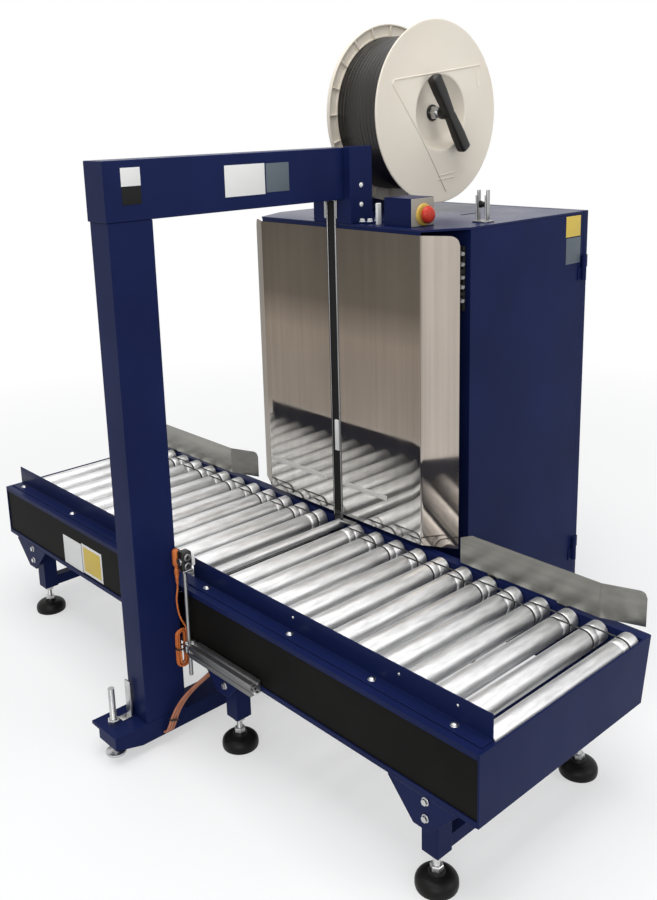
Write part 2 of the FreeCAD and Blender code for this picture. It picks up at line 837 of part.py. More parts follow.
def cabinet_top():
    """The roof plate; it runs forward over the head to the front plates, its corners cut back."""
    w = cabinet_half_width
    front = far_guide_y + plate_sheet
    outline = [(-w, cabinet_back), (-w, cabinet_front), (-plate_half_width, front), (plate_half_width, front),
               (w, cabinet_front), (w, cabinet_back)]
    roof = prism_z(outline, cabinet_roof, cabinet_top_sheet)
    slot = box((strap_x - track_half - track_fit, front - overrun, cabinet_roof - overrun),
               (strap_x + track_half + track_fit, far_guide_y + track_depth + track_fit, cabinet_top_z + overrun))
    return roof.cut(slot)


def front_plate(side):
    """One stainless front plate with its wing bent back beside the load."""
    turn = math.radians(plate_wing_turn)
    along, out = math.cos(turn), math.sin(turn)
    s = plate_sheet
    edge = strap_x + side * (track_half + plate_slot_gap)
    bend = side * plate_half_width
    tip_x = bend + side * plate_wing * along
    tip_y = far_guide_y + plate_wing * out
    back = far_guide_y + s
    outline = [(edge, far_guide_y), (bend, far_guide_y), (tip_x, tip_y),
               (tip_x - side * s * out, tip_y + s * along), (bend, back), (edge, back)]
    plate = prism_z(outline, plate_bottom, plate_top - plate_bottom)
    plate = rounded_ends(plate, tip_x, plate_corner, s, (plate_top,))
    bracket_low = (min(side * (plate_half_width - plate_bracket_width), bend), back, plate_top - s)
    bracket_high = (max(side * (plate_half_width - plate_bracket_width), bend), cabinet_front, plate_top)
    lower_z = plate_bottom + (plate_top - plate_bottom) * plate_bracket_share
    brackets = [box(bracket_low, bracket_high),
                box((bracket_low[0], back, lower_z), (bracket_high[0], cabinet_front, lower_z + s))]
    return plate.fuse(brackets).removeSplitter()


def front_plates():
    return group([front_plate(-1), front_plate(1)])


def strapping_head():
    """The head behind the plates: its plate, feed motor, feed wheels, cam shaft and cooling block."""
    x_axis = V(1, 0, 0)
    plate_x = strap_x + track_half + track_wall
    back = cabinet_front + head_depth
    low, high = head_bottom, head_top
    plate = box((plate_x, far_guide_y + track_depth, low), (plate_x + head_plate, back, high))
    mid = (low + high) / 2
    y = cabinet_front - head_wheel_radius / 2
    start = plate_x + head_plate
    motor = rod((start, cabinet_front + head_depth / 2, mid), x_axis, head_motor_radius, head_motor_length)
    pieces = [plate, motor]
    for step in (-1, 1):
        z = mid + step * (head_wheel_radius + track_fit) * 2
        wheel = tube((start, y, z), x_axis, head_wheel_radius, shaft_radius, head_wheel_width)
        spindle = rod((start, y, z), x_axis, shaft_radius, head_wheel_width + shaft_radius)
        pieces.append(wheel.fuse(spindle))
    shelf = box((start, cabinet_front - head_shelf, high - head_shelf),
                (plate_half_width, cabinet_front, high - head_shelf + head_plate))
    pieces.append(shelf)
    for i in range(head_spool_count):
        z = high - head_shelf - (i + 1) * head_spool_pitch
        spool = turned([(0, 0), (0, head_spool_radius), (head_spool_width / 3, head_spool_radius),
                        (head_spool_width / 2, head_spool_radius / 2),
                        (head_spool_width, head_spool_radius / 2), (head_spool_width, 0)],
                       (plate_half_width, cabinet_front - head_spool_radius - track_fit, z), x_axis)
        pieces.append(spool)
    stile = box((plate_half_width - head_plate, cabinet_front - 2 * head_spool_radius,
                 high - head_shelf - (head_spool_count + 1) * head_spool_pitch),
                (plate_half_width, cabinet_front, high - head_shelf))
    pieces.append(stile)
    return group(pieces)


def rear_door():
    """The door over the whole back, with its hinge knuckles and a bore for the latch."""
    front = cabinet_back + door_gap
    w = cabinet_half_width
    up = V(0, 0, 1)
    panel = box((-w, front, cabinet_bottom), (w, door_back, cabinet_roof + cabinet_top_sheet))
    bore = rod((latch_x, front - overrun, latch_height), V(0, 1, 0), latch_spindle_radius + running_gap,
               door_sheet + 2 * overrun)
    door = panel.cut(bore)
    x, y = hinge_axis()
    for z in hinge_places():
        knuckle = rod((x, y, z + door_gap), up, hinge_radius, hinge_knuckle)
        leaf = box((w, front, z + door_gap), (w + hinge_leaf, door_back, z + door_gap + hinge_knuckle))
        pin_bore = rod((x, y, z), up, hinge_pin_radius + running_gap, hinge_knuckle + overrun)
        door = door.fuse(knuckle.fuse(leaf).cut(pin_bore))
    return door.removeSplitter()


def door_latch():
    """A turning grip on a spindle through the door."""
    along = V(0, 1, 0)
    spindle = rod((latch_x, cabinet_back + door_gap, latch_height), along, latch_spindle_radius,
                  door_sheet + latch_reach / 2)
    collar = rod((latch_x, door_back + door_gap, latch_height), along, latch_radius, latch_reach / 2)
    half = latch_grip_width / 2
    grip = box((latch_x - half, door_back + latch_reach / 2, latch_height - latch_grip_length / 2),
               (latch_x + half, door_back + latch_reach, latch_height + latch_grip_length / 2))
    return grip.fuse([collar, spindle])


def dispenser_post():
    """The arm that carries the reel shaft from behind, on a foot plate on the cabinet top."""
    back_x = reel_front_x - reel_width - post_gap
    low_x = back_x - dispenser_arm
    half = dispenser_width / 2
    foot_top = cabinet_top_z + base_plate_sheet
    foot = box((low_x - dispenser_arm, reel_axis_y - dispenser_base_width / 2, cabinet_top_z),
               (back_x, reel_axis_y + dispenser_base_width / 2, foot_top))
    flare = dispenser_base_width / 2 - half / 2
    outline = [(reel_axis_y - flare, foot_top), (reel_axis_y + flare, foot_top),
               (reel_axis_y + half, reel_axis_z), (reel_axis_y - half, reel_axis_z)]
    arm = prism_x(outline, low_x, dispenser_arm)
    head = rod((low_x, reel_axis_y, reel_axis_z), V(1, 0, 0), dispenser_head_radius, dispenser_arm)
    bore = rod((low_x - overrun, reel_axis_y, reel_axis_z), V(1, 0, 0), shaft_radius + running_gap,
               dispenser_arm + 2 * overrun)
    return foot.fuse([arm, head]).removeSplitter().cut(bore)


def reel_hub():
    """The reel's shaft and the drum that the coil is wound on."""
    x_axis = V(1, 0, 0)
    rear_x = reel_front_x - reel_width
    start = rear_x - post_gap - dispenser_arm - track_wall
    stop = reel_front_x + handle_reach - handle_hub_length
    shaft = rod((start, reel_axis_y, reel_axis_z), x_axis, shaft_radius, stop + handle_bore_depth - track_fit - start)
    floor_x = reel_front_x + flange_cone - recess_depth
    boss = rod((floor_x, reel_axis_y, reel_axis_z), x_axis, handle_hub_radius, stop - track_fit - floor_x)
    inner = rear_x + flange_sheet
    length = floor_x - recess_wall - inner
    drum = tube((inner, reel_axis_y, reel_axis_z), x_axis, core_radius - recess_draft - recess_wall,
                core_radius - recess_draft - recess_wall - core_wall, length)
    web = rod((inner + length / 3, reel_axis_y, reel_axis_z), x_axis,
              core_radius - recess_draft - recess_wall - core_wall / 2, core_wall)
    return shaft.fuse([drum, web, boss])


def rear_flange():
    """The rear flange: a disc with a ribbed rim that faces the coil."""
    x_axis = V(1, 0, 0)
    rear_x = reel_front_x - reel_width
    centre = (rear_x, reel_axis_y, reel_axis_z)
    rim = reel_radius * flange_rim_share
    profile = [(0, shaft_radius), (0, reel_radius), (flange_sheet + flange_rim_height, reel_radius),
               (flange_sheet + flange_rim_height, reel_radius - flange_rib_width),
               (flange_sheet, reel_radius - flange_rib_width), (flange_sheet, shaft_radius)]
    disc = turned(profile, centre, x_axis)
    ribs = []
    for i in range(flange_rib_count):
        rib = box((rear_x + flange_sheet - track_fit, reel_axis_y - flange_rib_width / 2,
                   reel_axis_z + rim),
                  (rear_x + flange_sheet + flange_rim_height, reel_axis_y + flange_rib_width / 2,
                   reel_axis_z + reel_radius - flange_rib_width / 2))
        rib.rotate(V(*centre), x_axis, 360.0 * i / flange_rib_count)
        ribs.append(rib)
    return disc.fuse(ribs)


def front_flange():
    """The front flange: a shallow cone that rises to its middle, dished there round the handle."""
    centre = (reel_front_x - flange_sheet, reel_axis_y, reel_axis_z)
    brim = flange_sheet + flange_cone
    floor = brim - recess_depth
    profile = [(floor - recess_wall, shaft_radius), (floor - recess_wall, recess_radius - recess_draft + recess_wall),
               (flange_cone, recess_radius + recess_wall), (0, reel_radius), (flange_sheet, reel_radius),
               (brim, recess_radius), (floor, recess_radius - recess_draft), (floor, shaft_radius)]
    return turned(profile, centre, V(1, 0, 0))


def strap_coil():
    """The strap wound on the drum, a plain ring between the flanges."""
    inner_x = reel_front_x - reel_width + flange_sheet + track_fit
    length = reel_width - 2 * flange_sheet - 2 * track_fit
    return tube((inner_x, reel_axis_y, reel_axis_z), V(1, 0, 0), coil_radius,
                recess_radius + recess_wall + track_fit, length)


def tee_handle():
    """The black clamping bar on its threaded hub."""
    x = reel_front_x + handle_reach
    half = handle_length / 2
    profile = [(-half, 0), (-half, handle_waist), (-half + roller_edge, handle_radius),
               (0, handle_waist + roller_edge / 2), (half - roller_edge, handle_radius),
               (half, handle_waist), (half, 0)]
    bar = turned(profile, (x, reel_axis_y, reel_axis_z), V(0, 0, 1))
    bar.rotate(V(x, reel_axis_y, reel_axis_z), V(1, 0, 0), handle_turn)
    back = (x - handle_hub_length, reel_axis_y, reel_axis_z)
    hub = rod(back, V(1, 0, 0), handle_hub_radius, handle_hub_length)
    bore = rod(back, V(1, 0, 0), shaft_radius + running_gap, handle_bore_depth)
    return bar.fuse(hub).cut(bore)


def stop_centre():
    front = far_guide_y + stop_inset
    return (stop_x + stop_width, front + stop_centre_y, cabinet_top_z + stop_centre_z)


def estop_box():
    """The button's housing on the cabinet top, bored for the button's stem."""
    front = far_guide_y + stop_inset
    block = box((stop_x, front, cabinet_top_z), (stop_x + stop_width, front + stop_depth, cabinet_top_z + stop_height))
    x, y, z = stop_centre()
    bore = rod((x - button_reach - button_travel, y, z), V(1, 0, 0), button_stem_radius + button_fit,
               button_reach + button_travel + overrun)
    return block.cut(bore)


def estop_collar():
    """The yellow ring round the button."""
    return tube(stop_centre(), V(1, 0, 0), collar_radius, button_stem_radius + 2 * button_fit, collar_height)


def estop_button():
    """The red mushroom on its stem."""
    x, y, z = stop_centre()
    top = button_reach + button_head / 2
    profile = [(-button_reach, 0), (-button_reach, button_stem_radius),
               (collar_height + button_travel + track_fit, button_stem_radius),
               (collar_height + button_travel + track_fit, button_radius),
               (button_reach, button_radius), (top, button_radius * 2 / 3), (top + track_fit, 0)]
    return turned(profile, (x, y, z), V(1, 0, 0))


def strap_guide():
    """Two upright blades with a roller between them, on a base plate."""
    base = box((guide_x - guide_base / 2, guide_y - guide_base / 2, cabinet_top_z),
               (guide_x + guide_base / 2, guide_y + guide_base / 2, cabinet_top_z + guide_base_sheet))
    low = cabinet_top_z + guide_base_sheet
    blades = []
    for step in (-1, 1):
        x = guide_x + step * guide_post_gap / 2
        blades.append(box((x - guide_base_sheet / 2, guide_y - guide_post_width / 2, low),
                          (x + guide_base_sheet / 2, guide_y + guide_post_width / 2, low + guide_post_height)))
    span = guide_post_gap - guide_base_sheet
    spool = rod((guide_x - span / 2, guide_y, low + guide_post_height / 2), V(1, 0, 0), guide_roller_radius, span)
    return group([base, spool] + blades)


def sensor_profile():
    """The slotted aluminium bar along the rail."""
    half = profile_size / 2
    y = -half_width - half
    bar = box((profile_start, y - half, profile_z - half), (profile_start + profile_length, y + half, profile_z + half))
    cuts = []
    for step in (-1, 1):
        low = profile_z + step * (half - profile_slot_depth / 2)
        cuts.append(box((profile_start - overrun, y - profile_slot / 2, low - profile_slot_depth / 2),
                        (profile_start + profile_length + overrun, y + profile_slot / 2, low + profile_slot_depth / 2)))
    cuts.append(box((profile_start - overrun, y - half - overrun, profile_z - profile_slot / 2),
                    (profile_start + profile_length + overrun, y - half + profile_slot_depth,
                     profile_z + profile_slot / 2)))
    return bar.cut(cuts[0]).cut(cuts[1]).cut(cuts[2])


def sensor_mount():
    """The bar, the rod in its cross clamp, the sensor body with its lens and its right-angle plug."""
    x, y = sensor_rod_x, sensor_rod_y
    half = clamp_size / 2
    up = V(0, 0, 1)
    post = rod((x, y, sensor_rod_bottom), up, sensor_rod_diameter / 2, sensor_rod_top - sensor_rod_bottom)
    clamp = box((x - half, y - half, profile_z - half), (profile_start, -half_width, profile_z + half)).cut(post)
    front = y - sensor_size / 2
    top = sensor_rod_top + sensor_height
    body = box((x - sensor_size / 2, front, sensor_rod_top), (x + sensor_size / 2, front + sensor_depth, top))
    lens_low = sensor_rod_top + (sensor_height - lens_size) / 2
    lens = box((x - lens_size / 2, front + sensor_depth, lens_low),
               (x + lens_size / 2, front + sensor_depth + lens_depth, lens_low + lens_size))
    exit_x, exit_y, exit_z = lead_route[0]
    low = exit_z + track_fit
    sleeve = top - plug_head - low
    plug = turned([(0, 0), (0, neck_radius), (sleeve, neck_radius), (sleeve, plug_radius),
                   (top - low, plug_radius), (top - low, 0)], (exit_x, exit_y, low), up)
    neck = rod((exit_x, exit_y, top - plug_head / 2), V(1, 0, 0), neck_radius, x - sensor_size / 2 - exit_x)
    return group([sensor_profile(), clamp, post, body, lens, plug.fuse(neck)])


def rounded_path(points):
    """Straight runs joined by tangent arcs, each as large as its two runs allow."""
    vectors = [V(*p) for p in points]
    edges = []
    radii = []
    here = vectors[0]
    for before, corner, after in zip(vectors, vectors[1:], vectors[2:]):
        back = before - corner
        onward = after - corner
        run = min(back.Length, onward.Length) * arc_share
        turn = math.pi - back.getAngle(onward)
        radius = run / math.tan(turn / 2)
        radii.append(radius)
        start = corner + back.normalize() * run
        stop = corner + onward.normalize() * run
        bisector = (start + stop) * 0.5 - corner
        reach = math.hypot(radius, run) - radius
        middle = corner + bisector.normalize() * reach
        if (start - here).Length > small:
            edges.append(Part.LineSegment(here, start).toShape())
        edges.append(Part.Arc(start, middle, stop).toShape())
        here = stop
    edges.append(Part.LineSegment(here, vectors[-1]).toShape())
    return Part.Wire(edges), radii


def round_tube(points, diameter):
    """A round tube along a route of straight runs and arcs."""
    path, radii = rounded_path(points)
    first = V(*points[1]) - V(*points[0])
    circle = Part.Wire([Part.makeCircle(diameter / 2, V(*points[0]), first)])
    solid = path.makePipeShell([circle], True, False)
    section = math.pi * diameter ** 2 / 4
    print("tube", round(path.Length, 1), "smallest arc", round(min(radii), 1),
          "volume share", round(solid.Volume / (section * path.Length), 4))
    return solid


def sensor_lead():
    return round_tube(lead_route, lead_diameter)


def hank_runs():
    """The (x, y) places of the hank's upright runs: an outer ring of loops, then an inner ring back."""
    pitch = lead_diameter + hank_gap
    outer = (hank_width - lead_diameter) / 2
    inner = outer - pitch
    first = hank_x - hank_loops * pitch / 2
    runs = []
    for i in range(hank_loops):
        runs += [(first + i * pitch, hank_y - outer), (first + (i + 1) * pitch, hank_y + outer)]
    for i in range(hank_loops, 0, -1):
        runs += [(first + i * pitch, hank_y - inner), (first + (i - 1) * pitch, hank_y + inner)]
    return runs


def hank_path():
    """The hank's centre line: upright runs joined by half turns over the top and under the bottom."""
    runs = hank_runs()
    high = hank_top - hank_width / 2
    low = hank_top - hank_height + hank_width / 2
    edges = []
    for i, (x, y) in enumerate(runs):
        way = 1 if i % 2 == 0 else -1
        start_z, stop_z = (low, high) if way > 0 else (high, low)
        edges.append(Part.LineSegment(V(x, y, start_z), V(x, y, stop_z)).toShape())
        if i + 1 < len(runs):
            next_x, next_y = runs[i + 1]
            reach = math.hypot(next_x - x, next_y - y) / 2
            middle = V((x + next_x) / 2, (y + next_y) / 2, stop_z + way * reach)
            edges.append(Part.Arc(V(x, y, stop_z), middle, V(next_x, next_y, stop_z)).toShape())
    return Part.Wire(edges)


def least_gap(path, diameter):
    """The least gap of a tube to itself, between points a few diameters apart along its run."""
    points = path.discretize(Distance=hank_sample)
    apart = math.ceil(math.pi * diameter / hank_sample)
    return min((a - b).Length for i, a in enumerate(points) for b in points[i + apart:]) - diameter


def lead_hank():
    """The spare lead, folded into a hank: one unbroken round tube."""
    path = hank_path()
    start = path.Vertexes[0].Point
    circle = Part.Wire([Part.makeCircle(lead_diameter / 2, start, V(0, 0, 1))])
    print("hank length", round(path.Length, 1), "least gap", round(least_gap(path, lead_diameter), 2))
    return path.makePipeShell([circle], True, False)


def cable_bundle():
    """The cables from under the conveyor to the foot of the column."""
    tubes = []
    for i in range(bundle_count):
        shift = (i - (bundle_count - 1) / 2) * bundle_step
        tubes.append(round_tube([(x, y + shift, z) for x, y, z in bundle_route], bundle_diameter))
    return group(tubes)


def bolt(place, axis):
    """A low hexagon head that sits on a face."""
    return hexagon_nut(place, axis, 2 * bolt_head_radius, bolt_head_height)


def bolts():
    """The visible screws of the near guides, the near legs, the arch's end post and its foot."""
    y = -half_width + guide_bolt_inset
    up = V(0, 0, 1)
    heads = [bolt((share * half_length, y, frame_top + near_guide_sheet), up) for share in guide_bolt_shares]
    for x in (-leg_outer_x, leg_inner_x, leg_outer_x):
        heads += [bolt((x + leg_bolt_shift, -half_width, frame_bottom - drop), V(0, -1, 0)) for drop in leg_bolt_drops]
    post_x = strap_x + track_wall + post_width / 2
    post_y = far_guide_y + post_bolt_inset
    heads += [bolt((post_x, post_y, beam_bottom + rise), V(1, 0, 0)) for rise in post_bolt_rises]
    heads += [bolt((post_x + roof_bolt_gap, far_guide_y + inset, cabinet_top_z), up) for inset in roof_bolt_insets]
    return group(heads)


def place(shape):
    """Moves a shape from the strap plane to the origin under the footprint's middle."""
    moved = shape.copy()
    moved.translate(V(0, -centre_y, 0))
    return moved


def nodes():
    """Every node with its shape, in the machine's own place."""
    made = {}
    for i, x in enumerate(roller_places()):
        made["roller_%02d" % (i + 1)] = roller(x)
    made["gap_roller"] = gap_roller()
    for make in (conveyor_frame, end_panels, side_covers, near_guides, far_guides, roller_axles, drive_belts,
                 support_legs, foot_pads, levelling_stems, arch_base, arch_column, arch_beam, strap_track,
                 cabinet_shell, cabinet_top, front_plates, strapping_head, rear_door, door_latch,
                 dispenser_post, reel_hub, rear_flange, front_flange, strap_coil, tee_handle, estop_box,
                 estop_collar, estop_button, strap_guide, sensor_mount, sensor_lead, lead_hank, cable_bundle,
                 bolts):
        made[make.__name__] = make()
    return made


os.makedirs("parts", exist_ok=True)
for name, shape in nodes().items():
    place(shape).exportStep("parts/%s.step" % name)
print("centre_y", centre_y)
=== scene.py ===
"""Looks of a side-seal carton strapping machine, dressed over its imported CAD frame.

Lengths and places are in millimetres, in the machine's own frame: X along the conveyor, the arch
column at -Y, the cabinet at +Y, Z up from the floor, with the strap plane near X = 0.
"""
import json
import math
from collections import namedtuple

import bmesh
import bpy
import numpy as np
from mathutils import Matrix

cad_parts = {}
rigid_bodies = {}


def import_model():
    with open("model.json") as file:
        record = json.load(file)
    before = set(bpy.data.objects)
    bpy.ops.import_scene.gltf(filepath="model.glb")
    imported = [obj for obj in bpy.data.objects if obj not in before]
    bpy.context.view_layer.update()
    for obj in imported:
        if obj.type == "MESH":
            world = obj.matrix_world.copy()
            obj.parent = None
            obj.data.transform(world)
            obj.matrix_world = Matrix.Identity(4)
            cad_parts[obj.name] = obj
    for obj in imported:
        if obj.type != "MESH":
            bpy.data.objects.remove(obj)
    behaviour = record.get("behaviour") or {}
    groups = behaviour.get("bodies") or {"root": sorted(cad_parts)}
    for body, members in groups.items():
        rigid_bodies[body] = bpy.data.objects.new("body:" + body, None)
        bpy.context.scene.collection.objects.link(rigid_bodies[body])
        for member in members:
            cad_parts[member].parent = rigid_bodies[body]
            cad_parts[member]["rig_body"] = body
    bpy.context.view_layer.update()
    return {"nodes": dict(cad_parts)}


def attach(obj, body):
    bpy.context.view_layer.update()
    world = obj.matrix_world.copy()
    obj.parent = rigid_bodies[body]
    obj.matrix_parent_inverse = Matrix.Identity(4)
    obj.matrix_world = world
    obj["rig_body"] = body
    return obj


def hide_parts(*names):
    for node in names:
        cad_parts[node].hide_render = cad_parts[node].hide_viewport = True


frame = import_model()

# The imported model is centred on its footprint, so every place is shifted by this along Y.
FOOTPRINT_MIDDLE_Y = 196.75
METRE = 0.001

# Camera of the photograph: place, heading from +Y towards -X, pitch, roll and focal length.
CAMERA_PLACE = (1869.4, -1478.8, 1474.0)
CAMERA_HEADING = 47.66
CAMERA_PITCH = 13.75
CAMERA_ROLL = -1.54
FOCAL_PIXELS = 980.3
IMAGE_SIZE = (657, 900)
IMAGE_CENTRE = (326.8, 356.7)
SENSOR = 36.0

# Soft lamps: place, target and size in metres, then watts.
LAMPS = {"overhead": ((0.4, -0.6, 4.6), (0, 0, 0.5), (4.2, 3.2), 150.0),
         "front": ((3.2, -4.0, 2.8), (0, 0, 0.7), (2.6, 2.6), 70.0),
         "side": ((4.2, 1.6, 2.4), (0, 0, 0.8), (2.0, 2.4), 32.0)}
SURROUND_LIGHT = 0.42
FLOOR_REACH = 30.0
FLOOR_FADE = (1.0, 3.6)

# Conveyor
HALF_LENGTH = 932.0
HALF_WIDTH = 290.0
FRAME_TOP = 384.0
NEAR_WEB = -238.0
ROLLER_PITCH = 75.0
ROLLERS_PER_SIDE = 12
ROLLER_RADIUS = 25.0
ROLLER_BORE = 6.3
ROLLER_HEIGHT = 365.0
ROLLER_START = -231.0
ROLLER_END = 257.0
GROOVE_PLACES = (199.0, 223.0)
GROOVE_HALF = 5.0
GROOVE_DEPTH = 3.4
BELT_RADIUS = 1.9
BELT_CLEARANCE = 0.2
GAP_ROLLER = (11.5, 378.0)
GAP_ROLLER_RADIUS = 12.0
GAP_ROLLER_BORE = 4.3

# Near guides: their screws as shares of the half length, three small pins, and the clip beside the strap gap.
NEAR_GUIDE_SHEET = 3.0
GUIDE_SCREW_SHARES = (-0.942, -0.616, 0.084, 0.411, 0.68, 0.908)
GUIDE_SCREW_Y = -255.0
GUIDE_PINS = (380.0, 695.0, 843.0)
GUIDE_PIN_RISE = 36.0
GAP_CLIP = ((15.0, 238.0), (70.0, 262.0))

# Stainless guide strips: start, bend, lower and upper edge; then the middles of their brackets.
GUIDE_STRIPS = ((-923.0, -500.0, 391.0, 471.0), (430.0, 823.0, 393.0, 475.0))
GUIDE_BRACKETS = (-817.0, -606.0, 528.0, 725.0)
GUIDE_FLARE = (98.0, 20.0, 18.0)
GUIDE_CORNER = 16.0
STAINLESS_SHEET = 2.0

# Legs
LEGS_X = (-795.0, -168.0, 168.0, 795.0)
LEG_PLACES = [(x, y) for y in (-245.0, 245.0) for x in LEGS_X]
SCREWED_LEGS_X = (LEGS_X[0], *LEGS_X[2:])
LEG_SCREW_SHIFT = 11.0
LEG_SCREW_HEIGHTS = (222.0, 185.0)
FOOT_NUT_HEIGHTS = ((39.0, 11.0), (71.0, 10.0))
COLUMN_ROD = (-22.0, -476.0)
COLUMN_PLATE_TOP = 78.0

# Arch, front plates and track
BEAM_LOW = 1268.0
BEAM_FACE = 40.0
COVER_FACE = -287.0
BARE_SHEET = 0.8
STRAP_X = -10.0
TRACK_HALF = 18.0
TRACK_LOW = 402.0
TRACK_HIGH = 1262.0
FUNNEL_LOW = 1216.0
PLATE_FACE = 262.0
PLATE_LOW = 398.0
PLATE_TOP = 1193.0
PLATE_BEND = 300.0
PLATE_WING = (96.0, 30.0, 10.0)
PLATE_CORNER = 22.0
STRIP_LOW, STRIP_HIGH = 485.0, 499.0
STRIP_SHEET = 1.2
PLATE_STRIPS = ((-295.0, -52.0), (18.0, 180.0))
TRACK_BAR_LOW, TRACK_BAR_HIGH = 583.0, 670.0
POST_SCREWS = ((64.0, 300.0, 1303.0), (64.0, 300.0, 1254.0))
POST_FOOT = ((62.0, 286.0), (98.0, 356.0))
POST_FOOT_SHEET = 4.0
POST_FOOT_SCREWS = ((70.0, 297.0), (84.0, 310.0), (82.0, 340.0))

# Cabinet, with what stands on its roof
CABINET_HALF = 358.0
CABINET_TOP = 1206.0
HEAD_NUT_PLACE = (342.0, 368.0)
HEAD_NUT_AXIS = (0.8, -0.6, 0.0)
HEAD_NUT_HEIGHTS = (1142.0, 1116.0, 1084.0, 1060.0, 1026.0)
ROOF_SLIT = ((145.0, 596.0), (151.0, 666.0))
GUIDE_BASE = ((288.0, 470.0), (328.0, 510.0))
GUIDE_BASE_SHEET = 4.0
GUIDE_BLADES = ((297.0, 486.0), (319.0, 494.0))
GUIDE_SPOOL = (299.5, 490.0, CABINET_TOP + 44.0)
STOP_CENTRE = (245.0, 334.0, 1235.0)
STOP_FACE_Y = (291.0, 373.0)
WHITE_FITTING = ((126.0, 288.0), (134.0, 302.0))

# Reel
REEL_AXIS = (600.0, 1477.0)
REEL_FRONT = 64.0
REEL_REAR = -122.0
REEL_RADIUS = 242.0
REEL_CONE = 10.0
FLANGE_SHEET = 5.0
FLANGE_BORE = 12.2
SHAFT_RADIUS = 11.9
COIL_RADIUS = 209.0
COIL_ROWS = 14
REAR_RIBS = 20
DISH_RADIUS = 100.0
DISH_FLOOR = 40.0
HANDLE_X = 100.0
HANDLE_TURN = 33.5
HANDLE_HALF = 118.5
HANDLE_SHIFT = -4.0

# Sensor: middle of the slotted bar's section, its ends, the rod and the plug.
BAR_MIDDLE = (-305.0, 246.0)
BAR_ENDS = (82.0, 317.0)
SENSOR_ROD = (66.0, -306.0, 172.0)
SENSOR_RODS_LENGTH = 272.0
RING_NUT_HEIGHTS = (483.0, 461.0)
PLUG_PLACE = (46.0, -315.5)

# Sensor lead with its hank, and the cables from under the conveyor. The routes are those of the part's source,
# but the lead's last two points lead on into the hank's first turn, as one cord, and its tail leaves the hank.
LEAD_DIAMETER = 4.5
LEAD_ROUTE = [(46.0, -315.5, 408.0), (46.0, -315.5, 398.0), (46.0, -321.5, 372.0), (46.0, -320.0, 350.0),
              (46.0, -316.0, 326.0), (47.0, -308.5, 306.0), (50.5, -300.5, 290.0)]
LEAD_TAIL = [(51.3, -321.5, 226.0), (51.3, -321.3, 242.0)]
HANK_CENTRE = (46.0, -313.0, 240.0)
HANK_STRAIGHT = 34.0
HANK_OUTER = 13.75
HANK_PITCH = 5.2
BUNDLE_DIAMETER = 6.0
BUNDLE_SPACING = (-8.0, 0.0, 8.0)
BUNDLE_ROUTE = [(112.0, -240.0, 228.5), (112.0, -240.0, 212.0), (101.0, -256.0, 186.0), (85.0, -276.0, 162.0),
                (70.0, -300.0, 140.0), (60.0, -326.0, 116.0), (54.0, -350.0, 84.0), (51.0, -368.0, 36.0),
                (38.5, -368.0, 36.0)]

# Directions
ALONG_X = (1, 0, 0)
ALONG_Y = (0, 1, 0)
UP = (0, 0, 1)
TO_COLUMN = (0, -1, 0)


# Finishes

def new_material(name, colour, metallic=0.0, roughness=0.5, specular=0.5):
    """A principled material whose even values sit on the shader's own sockets."""
    material = bpy.data.materials.new(name)
    material.use_nodes = True
    shader = material.node_tree.nodes["Principled BSDF"]
    shader.inputs["Base Color"].default_value = (*colour, 1.0)
    shader.inputs["Metallic"].default_value = metallic
    shader.inputs["Roughness"].default_value = roughness
    shader.inputs["Specular IOR Level"].default_value = specular
    material.diffuse_color = (*colour, 1.0)
    return material


def noise(material, scale, detail=3.0, stretch=(1.0, 1.0, 1.0)):
    """Noise on object coordinates, stretched by a mapping; returns its value socket."""
    nodes, links = material.node_tree.nodes, material.node_tree.links
    coordinates = nodes.new("ShaderNodeTexCoord")
    mapping = nodes.new("ShaderNodeMapping")
    mapping.inputs["Scale"].default_value = stretch
    pattern = nodes.new("ShaderNodeTexNoise")
    pattern.inputs["Scale"].default_value = scale
    pattern.inputs["Detail"].default_value = detail
    links.new(coordinates.outputs["Object"], mapping.inputs["Vector"])
    links.new(mapping.outputs["Vector"], pattern.inputs["Vector"])
    return pattern.outputs["Fac"]


def ramp(material, value, stops):
    """A colour ramp over a value; stops are (place, colour) pairs."""
    nodes, links = material.node_tree.nodes, material.node_tree.links
    node = nodes.new("ShaderNodeValToRGB")
    elements = node.color_ramp.elements
    for element, (place, colour) in zip((elements[0], elements[1]), stops):
        element.position = place
        element.color = (*colour, 1.0)
    for place, colour in stops[2:]:
        elements.new(place).color = (*colour, 1.0)
    links.new(value, node.inputs["Fac"])
    return node.outputs["Color"]


def link(material, socket, name):
    """Feeds a socket of the principled shader."""
    shader = material.node_tree.nodes["Principled BSDF"]
    material.node_tree.links.new(socket, shader.inputs[name])


def vary(material, name, value, low, high, places=(0.3, 0.7)):
    """Lets a socket of the shader wander between two colours as a value rises."""
    link(material, ramp(material, value, list(zip(places, (low, high)))), name)


def place_value(material, axis, start, stop):
    """A value that rises from 0 to 1 between two places along an axis, in millimetres."""
    nodes, links = material.node_tree.nodes, material.node_tree.links
    coordinates, parts = nodes.new("ShaderNodeTexCoord"), nodes.new("ShaderNodeSeparateXYZ")
    links.new(coordinates.outputs["Object"], parts.inputs[0])
    span = nodes.new("ShaderNodeMapRange")
    span.inputs["From Min"].default_value = start * METRE
    span.inputs["From Max"].default_value = stop * METRE
    links.new(parts.outputs["xyz".index(axis)], span.inputs["Value"])
    return span.outputs["Result"]


